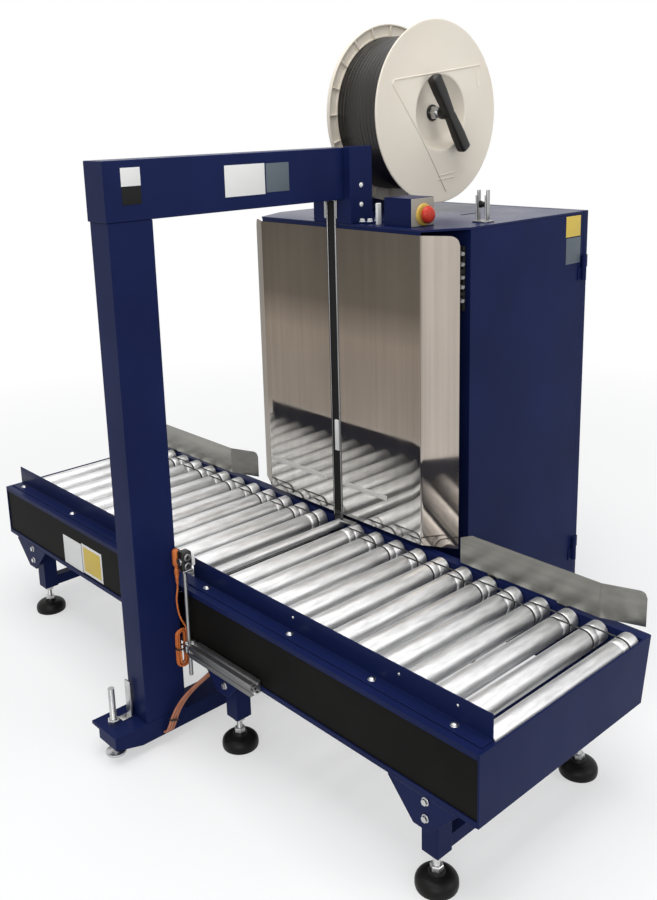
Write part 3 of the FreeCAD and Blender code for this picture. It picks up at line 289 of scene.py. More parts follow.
def mix(material, factor, first, second, blend="MIX"):
    """Two colours mixed by a factor; each of the three is a socket or plain values."""
    nodes, links = material.node_tree.nodes, material.node_tree.links
    node = nodes.new("ShaderNodeMix")
    node.data_type, node.blend_type = "RGBA", blend
    # A mix node lists the sockets of every data type: 0 is the factor, 6 and 7 are the two colours.
    for number, value in zip((0, 6, 7), (factor, first, second)):
        if hasattr(value, "is_linked"):
            links.new(value, node.inputs[number])
        else:
            node.inputs[number].default_value = (*value, 1.0) if number else value
    return node.outputs[2]


def bump(material, value, strength, distance):
    """A small relief from a value."""
    node = material.node_tree.nodes.new("ShaderNodeBump")
    node.inputs["Strength"].default_value = strength
    node.inputs["Distance"].default_value = distance
    material.node_tree.links.new(value, node.inputs["Height"])
    link(material, node.outputs["Normal"], "Normal")


def grey(level):
    """An even grey."""
    return (level, level, level)


def coat_finishes():
    """Powder coats: the navy one of the frame, the smoother one of the roof and the black covers."""
    navy = new_material("navy powder coat", (0.0075, 0.0130, 0.060), roughness=0.34, specular=0.05)
    vary(navy, "Base Color", noise(navy, 5.0), (0.0066, 0.0115, 0.053), (0.0086, 0.0150, 0.068))
    vary(navy, "Roughness", noise(navy, 9.0, 4.0), grey(0.28), grey(0.42), (0.3, 0.75))
    bump(navy, noise(navy, 420.0, 2.0), 0.05, 0.0004)
    roof = new_material("smooth navy roof coat", (0.0075, 0.0130, 0.060), roughness=0.3, specular=0.10)
    vary(roof, "Roughness", noise(roof, 6.0), grey(0.25), grey(0.34), (0.3, 0.75))
    cover = new_material("black cover coat", (0.0068, 0.0064, 0.0060), roughness=0.5, specular=0.04)
    vary(cover, "Base Color", noise(cover, 7.0, 4.0), (0.0055, 0.0052, 0.0048), (0.009, 0.0083, 0.0077), (0.3, 0.75))
    bump(cover, noise(cover, 500.0, 2.0), 0.06, 0.0004)
    return {"navy_paint": navy, "roof_paint": roof, "black_cover": cover}


def plate_finish():
    """Polished sheet steel, faintly brushed, with painted reflection: brighter low down and on the wings, darker and
    warmer high up.
    """
    plate = new_material("stainless sheet with painted reflection", (0.3, 0.26, 0.22), metallic=0.93, roughness=0.06, specular=0.2)
    plate.node_tree.nodes["Principled BSDF"].inputs["Specular Tint"].default_value = (0.45, 0.42, 0.38, 1.0)
    # Painted reflection: the base colour is bright low down, where the rollers show in the sheet, and darker and
    # warmer high up, where the room shows.
    heights = [(0.0, (0.62, 0.61, 0.59)), (0.24, (0.56, 0.535, 0.50)), (0.36, (0.33, 0.28, 0.235)),
               (0.64, (0.29, 0.235, 0.19)), (0.76, (0.145, 0.122, 0.098)), (1.0, (0.115, 0.098, 0.080))]
    face = ramp(plate, place_value(plate, "z", PLATE_LOW, PLATE_TOP), heights)
    # Painted reflection: the wings beyond the bend get a brighter base colour.
    wing = place_value(plate, "x", PLATE_BEND - 4.0, PLATE_BEND + 6.0)
    painted_reflection_tone = mix(plate, wing, face, (0.55, 0.485, 0.425))
    streaks = ramp(plate, noise(plate, 60.0, 4.0, (1.0, 1.0, 0.02)), [(0.3, grey(0.86)), (0.7, grey(1.0))])
    painted_reflection_tone = mix(plate, 1.0, painted_reflection_tone, streaks, "MULTIPLY")
    clouds = ramp(plate, noise(plate, 3.2, 3.0, (1.0, 1.0, 0.6)), [(0.3, grey(0.80)), (0.7, grey(1.0))])
    link(plate, mix(plate, 1.0, painted_reflection_tone, clouds, "MULTIPLY"), "Base Color")
    vary(plate, "Roughness", noise(plate, 9.0, 3.0, (1.0, 1.0, 0.2)), grey(0.03), grey(0.085), (0.3, 0.75))
    return plate


def metal_finishes():
    """Steel, zinc and aluminium, each streaked along the way it is rolled, drawn or brushed."""
    guide = new_material("brushed guide steel", (0.27, 0.265, 0.243), metallic=1.0, roughness=0.33)
    vary(guide, "Base Color", noise(guide, 40.0, 4.0, (0.03, 1.0, 1.0)), (0.225, 0.222, 0.203), (0.31, 0.306, 0.281))
    zinc = new_material("zinc plate", grey(0.56), metallic=1.0, roughness=0.3)
    vary(zinc, "Base Color", noise(zinc, 18.0, 5.0, (1.0, 0.35, 1.0)), grey(0.46), grey(0.64), (0.32, 0.68))
    vary(zinc, "Roughness", noise(zinc, 34.0, 4.0, (1.0, 0.2, 1.0)), grey(0.24), grey(0.38), (0.3, 0.75))
    tubes = new_material("galvanised roller tube", grey(0.66), metallic=1.0, roughness=0.5)
    vary(tubes, "Base Color", noise(tubes, 120.0, 5.0, (1.0, 0.15, 1.0)), grey(0.55), grey(0.74), (0.32, 0.68))
    vary(tubes, "Roughness", noise(tubes, 60.0, 4.0, (1.0, 0.12, 1.0)), grey(0.42), grey(0.54), (0.3, 0.75))
    bump(tubes, noise(tubes, 120.0, 4.0, (1.0, 0.3, 1.0)), 0.12, 0.0006)
    track = new_material("polished track", grey(0.3), metallic=1.0, roughness=0.2)
    vary(track, "Base Color", noise(track, 25.0, 3.0, (1.0, 1.0, 0.1)), grey(0.2), grey(0.4))
    bar = new_material("anodised aluminium", grey(0.28), metallic=1.0, roughness=0.4)
    vary(bar, "Base Color", noise(bar, 55.0, 3.0, (0.04, 1.0, 1.0)), grey(0.22), grey(0.33))
    return {"stainless": plate_finish(), "guide_steel": guide, "zinc": zinc, "roller_tube": tubes,
            "bright_track": track, "head_aluminium": bar}


def moulding_finishes():
    """Mouldings, the wound strap and the jackets of the lead and the cables."""
    black = new_material("black moulding", (0.0105, 0.0092, 0.0085), roughness=0.38, specular=0.35)
    bump(black, noise(black, 700.0, 2.0), 0.08, 0.0003)
    cream = new_material("cream moulding", (0.76, 0.69, 0.57), roughness=0.45, specular=0.3)
    vary(cream, "Base Color", noise(cream, 3.0, 2.0), (0.71, 0.645, 0.545), (0.76, 0.70, 0.60))
    strap = new_material("black strap", (0.012, 0.0105, 0.0095), roughness=0.36, specular=0.42)
    vary(strap, "Base Color", noise(strap, 260.0, 2.0, (1.0, 0.02, 0.02)), (0.0065, 0.0052, 0.0044),
         (0.017, 0.0142, 0.012), (0.35, 0.7))
    bump(strap, noise(strap, 330.0, 1.0, (1.0, 0.01, 0.01)), 0.15, 0.0004)
    orange = new_material("orange jacket", (0.56, 0.15, 0.035), roughness=0.45, specular=0.3)
    vary(orange, "Base Color", noise(orange, 60.0), (0.47, 0.115, 0.025), (0.62, 0.18, 0.045))
    cable = new_material("faded cable jacket", (0.42, 0.16, 0.09), roughness=0.5, specular=0.3)
    vary(cable, "Base Color", noise(cable, 30.0), (0.33, 0.115, 0.062), (0.47, 0.20, 0.125))
    return {"black_plastic": black, "cream_plastic": cream, "black_strap": strap, "orange_lead": orange,
            "faded_cable": cable}


def even_finishes():
    """Finishes of one even colour: name, colour, metallic, roughness and specular level."""
    rows = {"grey_paint": ("pale grey coat", (0.30, 0.275, 0.235), 0.0, 0.4, 0.3),
            "axle_steel": ("ground steel", grey(0.35), 1.0, 0.35, 0.5),
            "black_belt": ("round belt", grey(0.02), 0.0, 0.6, 0.5),
            "foot_rubber": ("black rubber", (0.006, 0.0056, 0.0052), 0.0, 0.42, 0.16),
            "yellow_plastic": ("yellow collar", (0.60, 0.40, 0.07), 0.0, 0.35, 0.5),
            "red_plastic": ("red button", (0.48, 0.032, 0.016), 0.0, 0.32, 0.25),
            "white_plate": ("white plate", (0.70, 0.70, 0.68), 0.0, 0.5, 0.3),
            "yellow_plate": ("yellow plate", (0.60, 0.44, 0.08), 0.0, 0.5, 0.3),
            "slate_plate": ("slate plate", (0.09, 0.11, 0.13), 0.0, 0.5, 0.3),
            "pale_strip": ("pale strip", (0.62, 0.6, 0.57), 0.0, 0.55, 0.5),
            # Near-black: painted shade where it lines the track's channel, the roof slit and the bar's bore; also
            # the dark plate on the column and the head's bracket.
            "dark_parts_and_painted_shade": ("dark parts and painted shade", grey(0.006), 0.0, 0.7, 0.2),
            "dark_head": ("dark mechanism", grey(0.03), 0.6, 0.4, 0.5)}
    return {slot: new_material(*row) for slot, row in rows.items()}


FINISH = {**coat_finishes(), **metal_finishes(), **moulding_finishes(), **even_finishes()}


# Surfaces: points (n by 3, millimetres), quads (n by 4) and the flat caps that close them

Surface = namedtuple("Surface", "points quads caps")

# Half width of the point that a turned surface closes to, and the angle in degrees above which an edge is sharp.
POLE = 0.01
SHARP_ANGLE = 35.0


def grid_quads(rows, columns, loop):
    """Quads of a grid of points: each row closes on itself, and in a loop the last row joins the first."""
    row = np.arange(rows if loop else rows - 1)[:, None]
    column = np.arange(columns)[None, :]
    next_row, next_column = (row + 1) % rows, (column + 1) % columns
    quads = np.stack([row * columns + column, row * columns + next_column,
                      next_row * columns + next_column, next_row * columns + column], axis=-1)
    return quads.reshape(-1, 4)


def skin(rings, loop=False):
    """A skin over rings of equal size: quads between neighbours, and a flat cap at each end unless they loop."""
    rings = np.asarray(rings, float)
    count, around = rings.shape[:2]
    first = np.arange(around)
    caps = [] if loop else [first[::-1], first + (count - 1) * around]
    return Surface(rings.reshape(-1, 3), grid_quads(count, around, loop), caps)


def combine(surfaces):
    """Several surfaces as one, their faces renumbered."""
    starts = np.cumsum([0] + [len(surface.points) for surface in surfaces[:-1]])
    return Surface(np.concatenate([surface.points for surface in surfaces]),
                   np.concatenate([surface.quads + start for surface, start in zip(surfaces, starts)]),
                   [cap + start for surface, start in zip(surfaces, starts) for cap in surface.caps])


def basis(axis):
    """An axis as a unit vector, and two unit vectors square to it and to each other."""
    axis = np.asarray(axis, float) / np.linalg.norm(axis)
    side = np.cross(axis, (0.0, 0.0, 1.0) if abs(axis[2]) < 0.9 else (1.0, 0.0, 0.0))
    side /= np.linalg.norm(side)
    return axis, side, np.cross(axis, side)


def lathe(profile, centre, axis, segments=48, turn=0.0, ring=False):
    """Turned surface: centre + axis * along + radius * (side cos a + up sin a), for (along, radius) rows.

    A ring's profile joins back on itself; otherwise a flat cap closes each end.
    """
    axis, side, up = basis(axis)
    profile = np.asarray(profile, float)
    angle = turn + np.linspace(0, 2 * np.pi, segments, endpoint=False)
    circle = np.cos(angle)[:, None] * side + np.sin(angle)[:, None] * up
    rings = (np.asarray(centre, float) + profile[:, None, :1] * axis
             + profile[:, None, 1:] * circle[None, :, :])
    return skin(rings, ring)


def closed(profile):
    """A profile with a pole added at each end, so that its caps close it."""
    profile = np.asarray(profile, float)
    return np.concatenate([[(profile[0, 0], POLE)], profile, [(profile[-1, 0], POLE)]])


def rounded_box(low, high, radius, steps=3):
    """A box with round edges: an eighth of a sphere, radius r, pushed out to each corner of a smaller box.

    Point = core corner + r (cos b cos a, cos b sin a, sin b), with a once round and b from pole to pole.
    """
    low, high = np.asarray(low, float), np.asarray(high, float)
    radius = min(radius, 0.499 * (high - low).min())
    quarter = np.linspace(0, np.pi / 2, steps + 1)
    a = np.concatenate([quarter + i * np.pi / 2 for i in range(4)])
    b = np.concatenate([-quarter[::-1], quarter])
    sign_x = np.repeat([1, -1, -1, 1], steps + 1)
    sign_y = np.repeat([1, 1, -1, -1], steps + 1)
    sign_z = np.repeat([-1, 1], steps + 1)
    middle, core = (low + high) / 2, (high - low) / 2 - radius
    x = middle[0] + sign_x * core[0] + radius * np.cos(b)[:, None] * np.cos(a)
    y = middle[1] + sign_y * core[1] + radius * np.cos(b)[:, None] * np.sin(a)
    z = (middle[2] + sign_z * core[2] + radius * np.sin(b))[:, None] + 0 * x
    return skin(np.stack([x, y, z], axis=-1))


def plan_box(plan, low, high, radius):
    """A box with round edges over a plan, given as two (x, y) corners, between two heights."""
    near, far = plan
    return rounded_box((*near, low), (*far, high), radius)


def prism(outline, start, stop):
    """A (y, z) outline drawn out along X from start to stop."""
    outline = np.asarray(outline, float)
    ends = [np.column_stack([np.full(len(outline), x), outline]) for x in (start, stop)]
    return skin(ends)


def tube(path, radius, reference, loop=False, sides=8):
    """A round tube: path + r (u cos a + v sin a), with u square to the path's direction and a reference."""
    path = np.asarray(path, float)
    if loop:
        direction = np.roll(path, -1, axis=0) - np.roll(path, 1, axis=0)
    else:
        direction = np.gradient(path, axis=0)
    direction /= np.linalg.norm(direction, axis=1)[:, None]
    u = np.cross(direction, reference)
    u /= np.linalg.norm(u, axis=1)[:, None]
    v = np.cross(direction, u)
    angle = np.linspace(0, 2 * np.pi, sides, endpoint=False)[None, :, None]
    rings = path[:, None, :] + radius * (np.cos(angle) * u[:, None, :] + np.sin(angle) * v[:, None, :])
    return skin(rings, loop)


def sheet_strip(x, y, low, high, thickness):
    """An upright sheet: front face points (x, y) against heights, and the same points moved back by its thickness.

    Rows follow the sheet's length; each ring goes up the front face and down the back face.
    """
    low, high = np.broadcast_to(low, x.shape), np.broadcast_to(high, x.shape)
    along = np.gradient(np.stack([x, y], axis=1), axis=0)
    along /= np.linalg.norm(along, axis=1)[:, None]
    back_x, back_y = x - along[:, 1] * thickness, y + along[:, 0] * thickness
    rings = np.stack([np.stack([x, y, low], 1), np.stack([x, y, high], 1),
                      np.stack([back_x, back_y, high], 1), np.stack([back_x, back_y, low], 1)], axis=1)
    return skin(rings)


def flared_line(start, bend, reach, turn, radius):
    """Front line of a bent sheet: straight, an arc of the bend's radius, then straight at the turn's angle."""
    turn = math.radians(turn)
    setback = radius * math.tan(turn / 2)
    straight_x = np.linspace(start, bend - setback, 12)
    angle = np.linspace(0, turn, 7)[1:]
    arc_x = bend - setback + radius * np.sin(angle)
    arc_y = radius * (1 - np.cos(angle))
    tail = np.linspace(0, reach - setback, 26)[1:]
    tail_x = arc_x[-1] + tail * math.cos(turn)
    tail_y = arc_y[-1] + tail * math.sin(turn)
    return np.concatenate([straight_x, arc_x, tail_x]), np.concatenate([0 * straight_x, arc_y, tail_y])


def corner_drop(distance, radius):
    """How far an edge drops by a rounded corner: r - sqrt(r^2 - (r - d)^2) at distance d from the end."""
    inside = np.clip(radius - distance, 0, radius)
    return radius - np.sqrt(np.maximum(radius ** 2 - inside ** 2, 0))


def hexagon(centre, axis, across, height):
    """A hexagon head with a chamfered top: rings of six points."""
    radius = across / math.sqrt(3)
    return lathe([(0, radius), (height * 0.88, radius), (height, radius * 0.88), (height, POLE)],
                 centre, axis, segments=6)


def dome(centre, axis, radius, height):
    """A low round head: radius cos t against height sin t, for t from 0 to a quarter turn."""
    t = np.linspace(0, np.pi / 2, 6)
    profile = np.stack([height * np.sin(t), np.maximum(radius * np.cos(t), POLE)], axis=1)
    return lathe(np.concatenate([[[0, radius]], profile]), centre, axis, 20)


def washer(centre, axis, radius, height, segments=24):
    """A flat disc with a small edge chamfer."""
    return lathe([(0, radius), (height * 0.7, radius), (height, radius * 0.94), (height, POLE)], centre, axis,
                 segments)


def bolt_heads(places, axis, across, height):
    """A washer and a hexagon head at each place."""
    heads = []
    for place in np.asarray(places, float):
        heads += [washer(place, axis, across * 0.72, 1.6),
                  hexagon(place + 1.6 * np.asarray(axis), axis, across, height)]
    return combine(heads)


def round_heads(places, axis, radius=7.0, height=4.0):
    """A washer and a low round head at each place."""
    heads = []
    for place in np.asarray(places, float):
        heads += [washer(place, axis, radius * 1.25, 1.4),
                  dome(place + 1.4 * np.asarray(axis), axis, radius, height)]
    return combine(heads)


def threaded(base, radius, length, pitch=3.0, depth=0.7):
    """A threaded upright rod: the radius swings by a triangle wave of the pitch."""
    count = int(length / pitch) * 2 + 1
    along = np.linspace(0, length, count)
    return lathe(closed(np.stack([along, radius - depth * (np.arange(count) % 2)], axis=1)), base, UP, 20)


# Pieces

def finish_mesh(mesh, angle):
    """Merges doubles, points faces outwards and marks edges sharper than the angle."""
    work = bmesh.new()
    work.from_mesh(mesh)
    bmesh.ops.remove_doubles(work, verts=work.verts, dist=1e-6)
    bmesh.ops.recalc_face_normals(work, faces=work.faces)
    work.to_mesh(mesh)
    work.free()
    mesh.shade_smooth()
    mesh.set_sharp_from_angle(angle=math.radians(angle))


def dress(piece, slot, body, replaced):
    """Gives a piece its finish, its body and the CAD nodes that it stands for."""
    piece.data.materials.clear()
    piece.data.materials.append(FINISH[slot])
    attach(piece, body)
    if replaced:
        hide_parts(*replaced)
    return piece


def put_in_scene(name, data):
    """An object of its data's name, linked to the scene."""
    thing = bpy.data.objects.new(name, data)
    bpy.context.scene.collection.objects.link(thing)
    return thing


def in_frame(points):
    """Places of the machine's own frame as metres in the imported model's frame."""
    return (np.asarray(points, float) - (0.0, FOOTPRINT_MIDDLE_Y, 0.0)) * METRE


def add_piece(name, surface, slot, body="machine", replaced=(), bevel=0.0, angle=SHARP_ANGLE):
    """A piece from a surface in the machine's frame."""
    mesh = bpy.data.meshes.new(name)
    faces = surface.quads.tolist() + [cap.tolist() for cap in surface.caps]
    mesh.from_pydata(in_frame(surface.points).tolist(), [], faces)
    finish_mesh(mesh, angle)
    piece = put_in_scene(name, mesh)
    if bevel:
        add_bevel(piece, bevel)
    return dress(piece, slot, body, replaced)


def add_bevel(piece, width):
    """Rounds a piece's sharp edges."""
    modifier = piece.modifiers.new("edge", "BEVEL")
    modifier.width = width * METRE
    modifier.segments = 2
    modifier.limit_method = "ANGLE"
    modifier.angle_limit = math.radians(40)
    modifier.use_clamp_overlap = True
    modifier.harden_normals = True


def soften(node, slot, width):
    """A copy of a CAD node with its triangles merged, flat faces joined and its edges rounded."""
    source = frame["nodes"][node]
    mesh = source.data.copy()
    work = bmesh.new()
    work.from_mesh(mesh)
    bmesh.ops.remove_doubles(work, verts=work.verts, dist=2e-6)
    bmesh.ops.dissolve_limit(work, angle_limit=math.radians(1.0), verts=work.verts, edges=work.edges)
    work.to_mesh(mesh)
    work.free()
    mesh.shade_smooth()
    mesh.set_sharp_from_angle(angle=math.radians(SHARP_ANGLE))
    piece = put_in_scene(node + "_dressed", mesh)
    if width:
        add_bevel(piece, width)
    return dress(piece, slot, source["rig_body"], (node,))


# Conveyor

def roller_places():
    """Places along X of the driven rollers: one pitch apart on each side of the strap gap."""
    right = ROLLER_PITCH * np.arange(1, ROLLERS_PER_SIDE + 1)
    return np.concatenate([-right[::-1], right])


def roller_profile():
    """Radius along a roller: a tube whose grooves dip by half a cosine wave, with rounded end plugs."""
    length = ROLLER_END - ROLLER_START
    start = np.array([(0, ROLLER_BORE), (0, 9), (1.2, 9), (1.2, 20.5), (0, 21), (0, 23.2), (0.7, 24.5),
                      (2.0, ROLLER_RADIUS)])
    t = np.linspace(-1, 1, 11)
    dip = ROLLER_RADIUS - GROOVE_DEPTH * (1 + np.cos(np.pi * t)) / 2
    dips = [np.stack([place - ROLLER_START + GROOVE_HALF * t, dip], axis=1) for place in GROOVE_PLACES]
    stop = start[::-1] * (-1, 1) + (length, 0)
    return np.concatenate([start, *dips, stop])


def add_rollers():
    """The driven rollers, each riding on its own body, and the slim roller beside the strap gap."""
    profile = roller_profile()
    for number, x in enumerate(roller_places(), 1):
        node = "roller_%02d" % number
        tube_surface = lathe(profile, (x, ROLLER_START, ROLLER_HEIGHT), ALONG_Y, 64, number * 0.37, ring=True)
        add_piece(node + "_tube", tube_surface, "roller_tube", node + "_body", (node,), angle=50)
    x, z = GAP_ROLLER
    radius, bore, length = GAP_ROLLER_RADIUS, GAP_ROLLER_BORE, ROLLER_END - ROLLER_START
    slim = [(0, bore), (0, radius - 1), (1, radius), (length - 1, radius), (length, radius - 1), (length, bore)]
    add_piece("gap_roller_tube", lathe(slim, (x, ROLLER_START, z), ALONG_Y, 40, ring=True), "roller_tube",
              "gap_roller_body", ("gap_roller",))


def belt_loop(x, y):
    """A round belt over two rollers: a stadium path, half a turn about each axle, with a round section."""
    reach = ROLLER_RADIUS - GROOVE_DEPTH + BELT_RADIUS + BELT_CLEARANCE
    half = np.linspace(np.pi / 2, 3 * np.pi / 2, 14)
    level = np.full(len(half), y)
    left = np.stack([x + reach * np.cos(half), level, ROLLER_HEIGHT + reach * np.sin(half)], axis=1)
    right = np.stack([x + ROLLER_PITCH - reach * np.cos(half), level, ROLLER_HEIGHT - reach * np.sin(half)], axis=1)
    return tube(np.concatenate([left, right]), BELT_RADIUS, ALONG_Y, loop=True)


def add_belts():
    """A belt from each roller to the next, by turns in the outer and the inner groove."""
    places = roller_places()
    sides = (places[:ROLLERS_PER_SIDE], places[ROLLERS_PER_SIDE:])
    loops = [belt_loop(x, GROOVE_PLACES[1 - number % 2]) for side in sides for number, x in enumerate(side[:-1])]
    add_piece("round_belts", combine(loops), "black_belt", replaced=("drive_belts",))


def add_conveyor():
    """Rails, panels, covers, guides and their screws."""
    soften("conveyor_frame", "navy_paint", 1.4)
    soften("end_panels", "navy_paint", 1.2)
    soften("side_covers", "black_cover", 0.5)
    soften("near_guides", "navy_paint", 1.0)
    soften("roller_axles", "axle_steel", 0.0)
    guide_top = FRAME_TOP + NEAR_GUIDE_SHEET
    places = [(share * HALF_LENGTH, GUIDE_SCREW_Y, guide_top) for share in GUIDE_SCREW_SHARES]
    add_piece("guide_screws", round_heads(places, UP), "zinc", replaced=("bolts",))
    pins = [(x, NEAR_WEB - NEAR_GUIDE_SHEET, FRAME_TOP + GUIDE_PIN_RISE) for x in GUIDE_PINS]
    add_piece("guide_pins", round_heads(pins, TO_COLUMN, 2.6, 1.2), "zinc")
    add_piece("gap_clip", plan_box(GAP_CLIP, FRAME_TOP + 2, FRAME_TOP + 9, 1.5), "bright_track")


def add_far_guides():
    """The stainless strips beyond the rollers, flared away from the load, with rounded free corners."""
    pieces = []
    for start, bend, low, high in GUIDE_STRIPS:
        x, y = flared_line(start, bend, *GUIDE_FLARE)
        drop = corner_drop(np.minimum(x[-1] - x, x - x[0]), GUIDE_CORNER)
        pieces.append(sheet_strip(x, PLATE_FACE + y, low, high - drop, STAINLESS_SHEET))
    front, back = PLATE_FACE + STAINLESS_SHEET, PLATE_FACE + STAINLESS_SHEET + 4
    for x in GUIDE_BRACKETS:
        pieces.append(rounded_box((x - 15, front, FRAME_TOP), (x + 15, back, 430), 1.0))
        pieces.append(rounded_box((x - 15, front, FRAME_TOP), (x + 15, 287, FRAME_TOP + 4), 1.0))
    add_piece("far_guide_strips", combine(pieces), "guide_steel", replaced=("far_guides",), angle=30)


# Legs and feet

def foot(x, y):
    """A levelling foot: a thick rim, then a crown whose radius falls as a quarter wave, and a short neck."""
    t = np.linspace(0, np.pi / 2, 10)
    crown = np.stack([13 + 20 * np.sin(t), 44 - 26 * (1 - np.cos(t))], axis=1)
    profile = np.concatenate([[(0, 40), (2, 43), (6, 44), (11, 44)], crown, [(37, 16.5), (39, 15)]])
    return lathe(closed(profile), (x, y, 0), UP, 48)


def add_legs():
    """Legs, feet, stems and nuts, the column's own rod and disc, and the screws of the near legs."""
    soften("support_legs", "navy_paint", 1.0)
    add_piece("feet", combine([foot(x, y) for x, y in LEG_PLACES]), "foot_rubber", replaced=("foot_pads",))
    stems = []
    for x, y in LEG_PLACES:
        stems.append(threaded((x, y, 38), 7.0, 46.0))
        stems += [hexagon((x, y, z), UP, 24, height) for z, height in FOOT_NUT_HEIGHTS]
    x, y = COLUMN_ROD
    top = COLUMN_PLATE_TOP
    stems += [threaded((x, y, 8), 8.0, 164.0), hexagon((x, y, top), UP, 26, 13),
              lathe(closed([(0, 24), (3, 25), (6, 24), (9, 12), (10, POLE)]), (x, y, 0), UP, 36),
              rounded_box((x - 11, y + 18, top), (x + 11, y + 46, top + 4), 1.0),
              rounded_box((x - 11, y + 42, top), (x + 11, y + 48, top + 94), 1.5)]
    add_piece("stems", combine(stems), "zinc", replaced=("levelling_stems",))
    places = [(x + LEG_SCREW_SHIFT, -HALF_WIDTH, z) for x in SCREWED_LEGS_X for z in LEG_SCREW_HEIGHTS]
    add_piece("leg_screws", bolt_heads(places, TO_COLUMN, 12, 5), "zinc")


# Arch

def add_arch():
    """Column, beam and base, and the screws and foot of the post under the beam's far end."""
    soften("arch_column", "navy_paint", 3.0)
    soften("arch_beam", "navy_paint", 3.0)
    soften("arch_base", "navy_paint", 1.5)
    heads = round_heads(POST_SCREWS, ALONG_X, 5.0, 2.6)
    foot_top = CABINET_TOP + POST_FOOT_SHEET
    feet = bolt_heads([(x, y, foot_top) for x, y in POST_FOOT_SCREWS], UP, 11, 6)
    add_piece("post_screws", combine([heads, feet]), "white_plate")
    add_piece("post_foot", plan_box(POST_FOOT, CABINET_TOP, foot_top, 1.0), "navy_paint")


def add_blank_plates():
    """Bare plates where the machine carries its plates: two corners, the edge's radius and the finish of each."""
    beam, cover, side = BEAM_FACE, COVER_FACE, CABINET_HALF
    field = cover - BARE_SHEET
    rows = {"beam_plate": ((beam, -113, 1300), (beam + BARE_SHEET, 5, 1372), 0.35, "white_plate"),
            "beam_square": ((beam, 9, 1303), (beam + BARE_SHEET, 80, 1371), 0.35, "slate_plate"),
            "column_plate_top": ((beam, -384, 1342), (beam + BARE_SHEET, -336, 1381), 0.35, "white_plate"),
            "column_plate_low": ((beam, -384, 1303), (beam + BARE_SHEET, -336, 1341.5), 0.35, "dark_parts_and_painted_shade"),
            "cover_plate_left": ((-581, field, 247), (-478, cover, 333), 0.35, "white_plate"),
            "cover_plate_right": ((-475, field, 250), (-367, cover, 338), 0.35, "white_plate"),
            "cover_plate_yellow": ((-466, field - 0.6, 258), (-375, field, 330), 0.25, "yellow_plate"),
            "cabinet_plate_top": ((side, 782, 1140), (side + BARE_SHEET, 850, 1196), 0.35, "yellow_plate"),
            "cabinet_plate_low": ((side, 784, 1066), (side + BARE_SHEET, 852, 1137), 0.35, "slate_plate")}
    for name, (low, high, radius, slot) in rows.items():
        add_piece(name, rounded_box(low, high, radius), slot)


def add_track():
    """Channel between the plates: a near-black floor that paints its shade, bright edges, its pale bar and the
    funnel at the top.
    """
    soften("strap_track", "bright_track", 0.6)
    low, high, face = STRAP_X - TRACK_HALF, STRAP_X + TRACK_HALF, PLATE_FACE
    gates = [rounded_box((low + 1, face - 1, TRACK_LOW), (low + 4, face + 8, TRACK_HIGH), 1.2),
             rounded_box((high - 5, face - 2, TRACK_LOW), (high - 1, face + 8, TRACK_HIGH), 1.6)]
    add_piece("track_gates", combine(gates), "bright_track")
    # The channel's floor is a near-black sheet: painted shade.
    floor = rounded_box((low + 3, face + 1, TRACK_LOW), (high - 4, face + 3, TRACK_HIGH - 2), 0.5)
    add_piece("track_floor", floor, "dark_parts_and_painted_shade")
    funnel = [rounded_box((low - 6, face - 4, FUNNEL_LOW), (low + 3, face + 10, BEAM_LOW), 3.0),
              rounded_box((high - 3, face - 4, FUNNEL_LOW), (high + 6, face + 10, BEAM_LOW), 3.0)]
    add_piece("track_funnel", combine(funnel), "bright_track")
    bar = rounded_box((STRAP_X - 3, face - 4, TRACK_BAR_LOW), (STRAP_X + 11, face + 2, TRACK_BAR_HIGH), 1.5)
    add_piece("sensor_bar", bar, "white_plate")


def add_plates():
    """The stainless plates: straight from the track outwards, a bend, then a wing with a round top corner."""
    for side, name in ((-1, "left_plate"), (1, "right_plate")):
        x, y = flared_line(TRACK_HALF + 1.0 + side * STRAP_X, PLATE_BEND, *PLATE_WING)
        drop = corner_drop(x[-1] - x, PLATE_CORNER)
        surface = sheet_strip(side * x, PLATE_FACE + y, PLATE_LOW, PLATE_TOP - drop, STAINLESS_SHEET * side)
        add_piece(name, surface, "stainless", replaced=("front_plates",) if side > 0 else (), angle=20)
    strips = [rounded_box((start, PLATE_FACE - STRIP_SHEET, STRIP_LOW), (stop, PLATE_FACE, STRIP_HIGH), 0.4)
              for start, stop in PLATE_STRIPS]
    add_piece("plate_strips", combine(strips), "pale_strip")


# Cabinet

def add_cabinet():
    """Housing, roof, door, head and the post of the reel."""
    soften("cabinet_shell", "navy_paint", 1.5)
    soften("cabinet_top", "roof_paint", 1.5)
    soften("rear_door", "navy_paint", 2.0)
    soften("door_latch", "black_plastic", 2.0)
    soften("dispenser_post", "navy_paint", 2.0)
    soften("strapping_head", "dark_head", 1.0)
    places = [(*HEAD_NUT_PLACE, z) for z in HEAD_NUT_HEIGHTS]
    add_piece("head_nuts", bolt_heads(places, HEAD_NUT_AXIS, 9, 6), "head_aluminium")
    bracket = [rounded_box((334, 366, 1000), (346, 376, 1160), 1.5),
               rounded_box((338, 352, 1094), (350, 370, 1104), 1.5),
               rounded_box((338, 352, 1040), (350, 370, 1048), 1.5)]
    add_piece("head_bracket", combine(bracket), "dark_parts_and_painted_shade")
    fascia = rounded_box((-PLATE_BEND + 2, PLATE_FACE + 2.5, 1186), (PLATE_BEND - 2, PLATE_FACE + 5, 1200), 0.8)
    add_piece("roof_fascia", fascia, "navy_paint")
    # The slit is a thin near-black sheet on the roof: painted shade in the opening.
    add_piece("roof_slit", plan_box(ROOF_SLIT, CABINET_TOP, CABINET_TOP + 0.6, 0.25), "dark_parts_and_painted_shade")


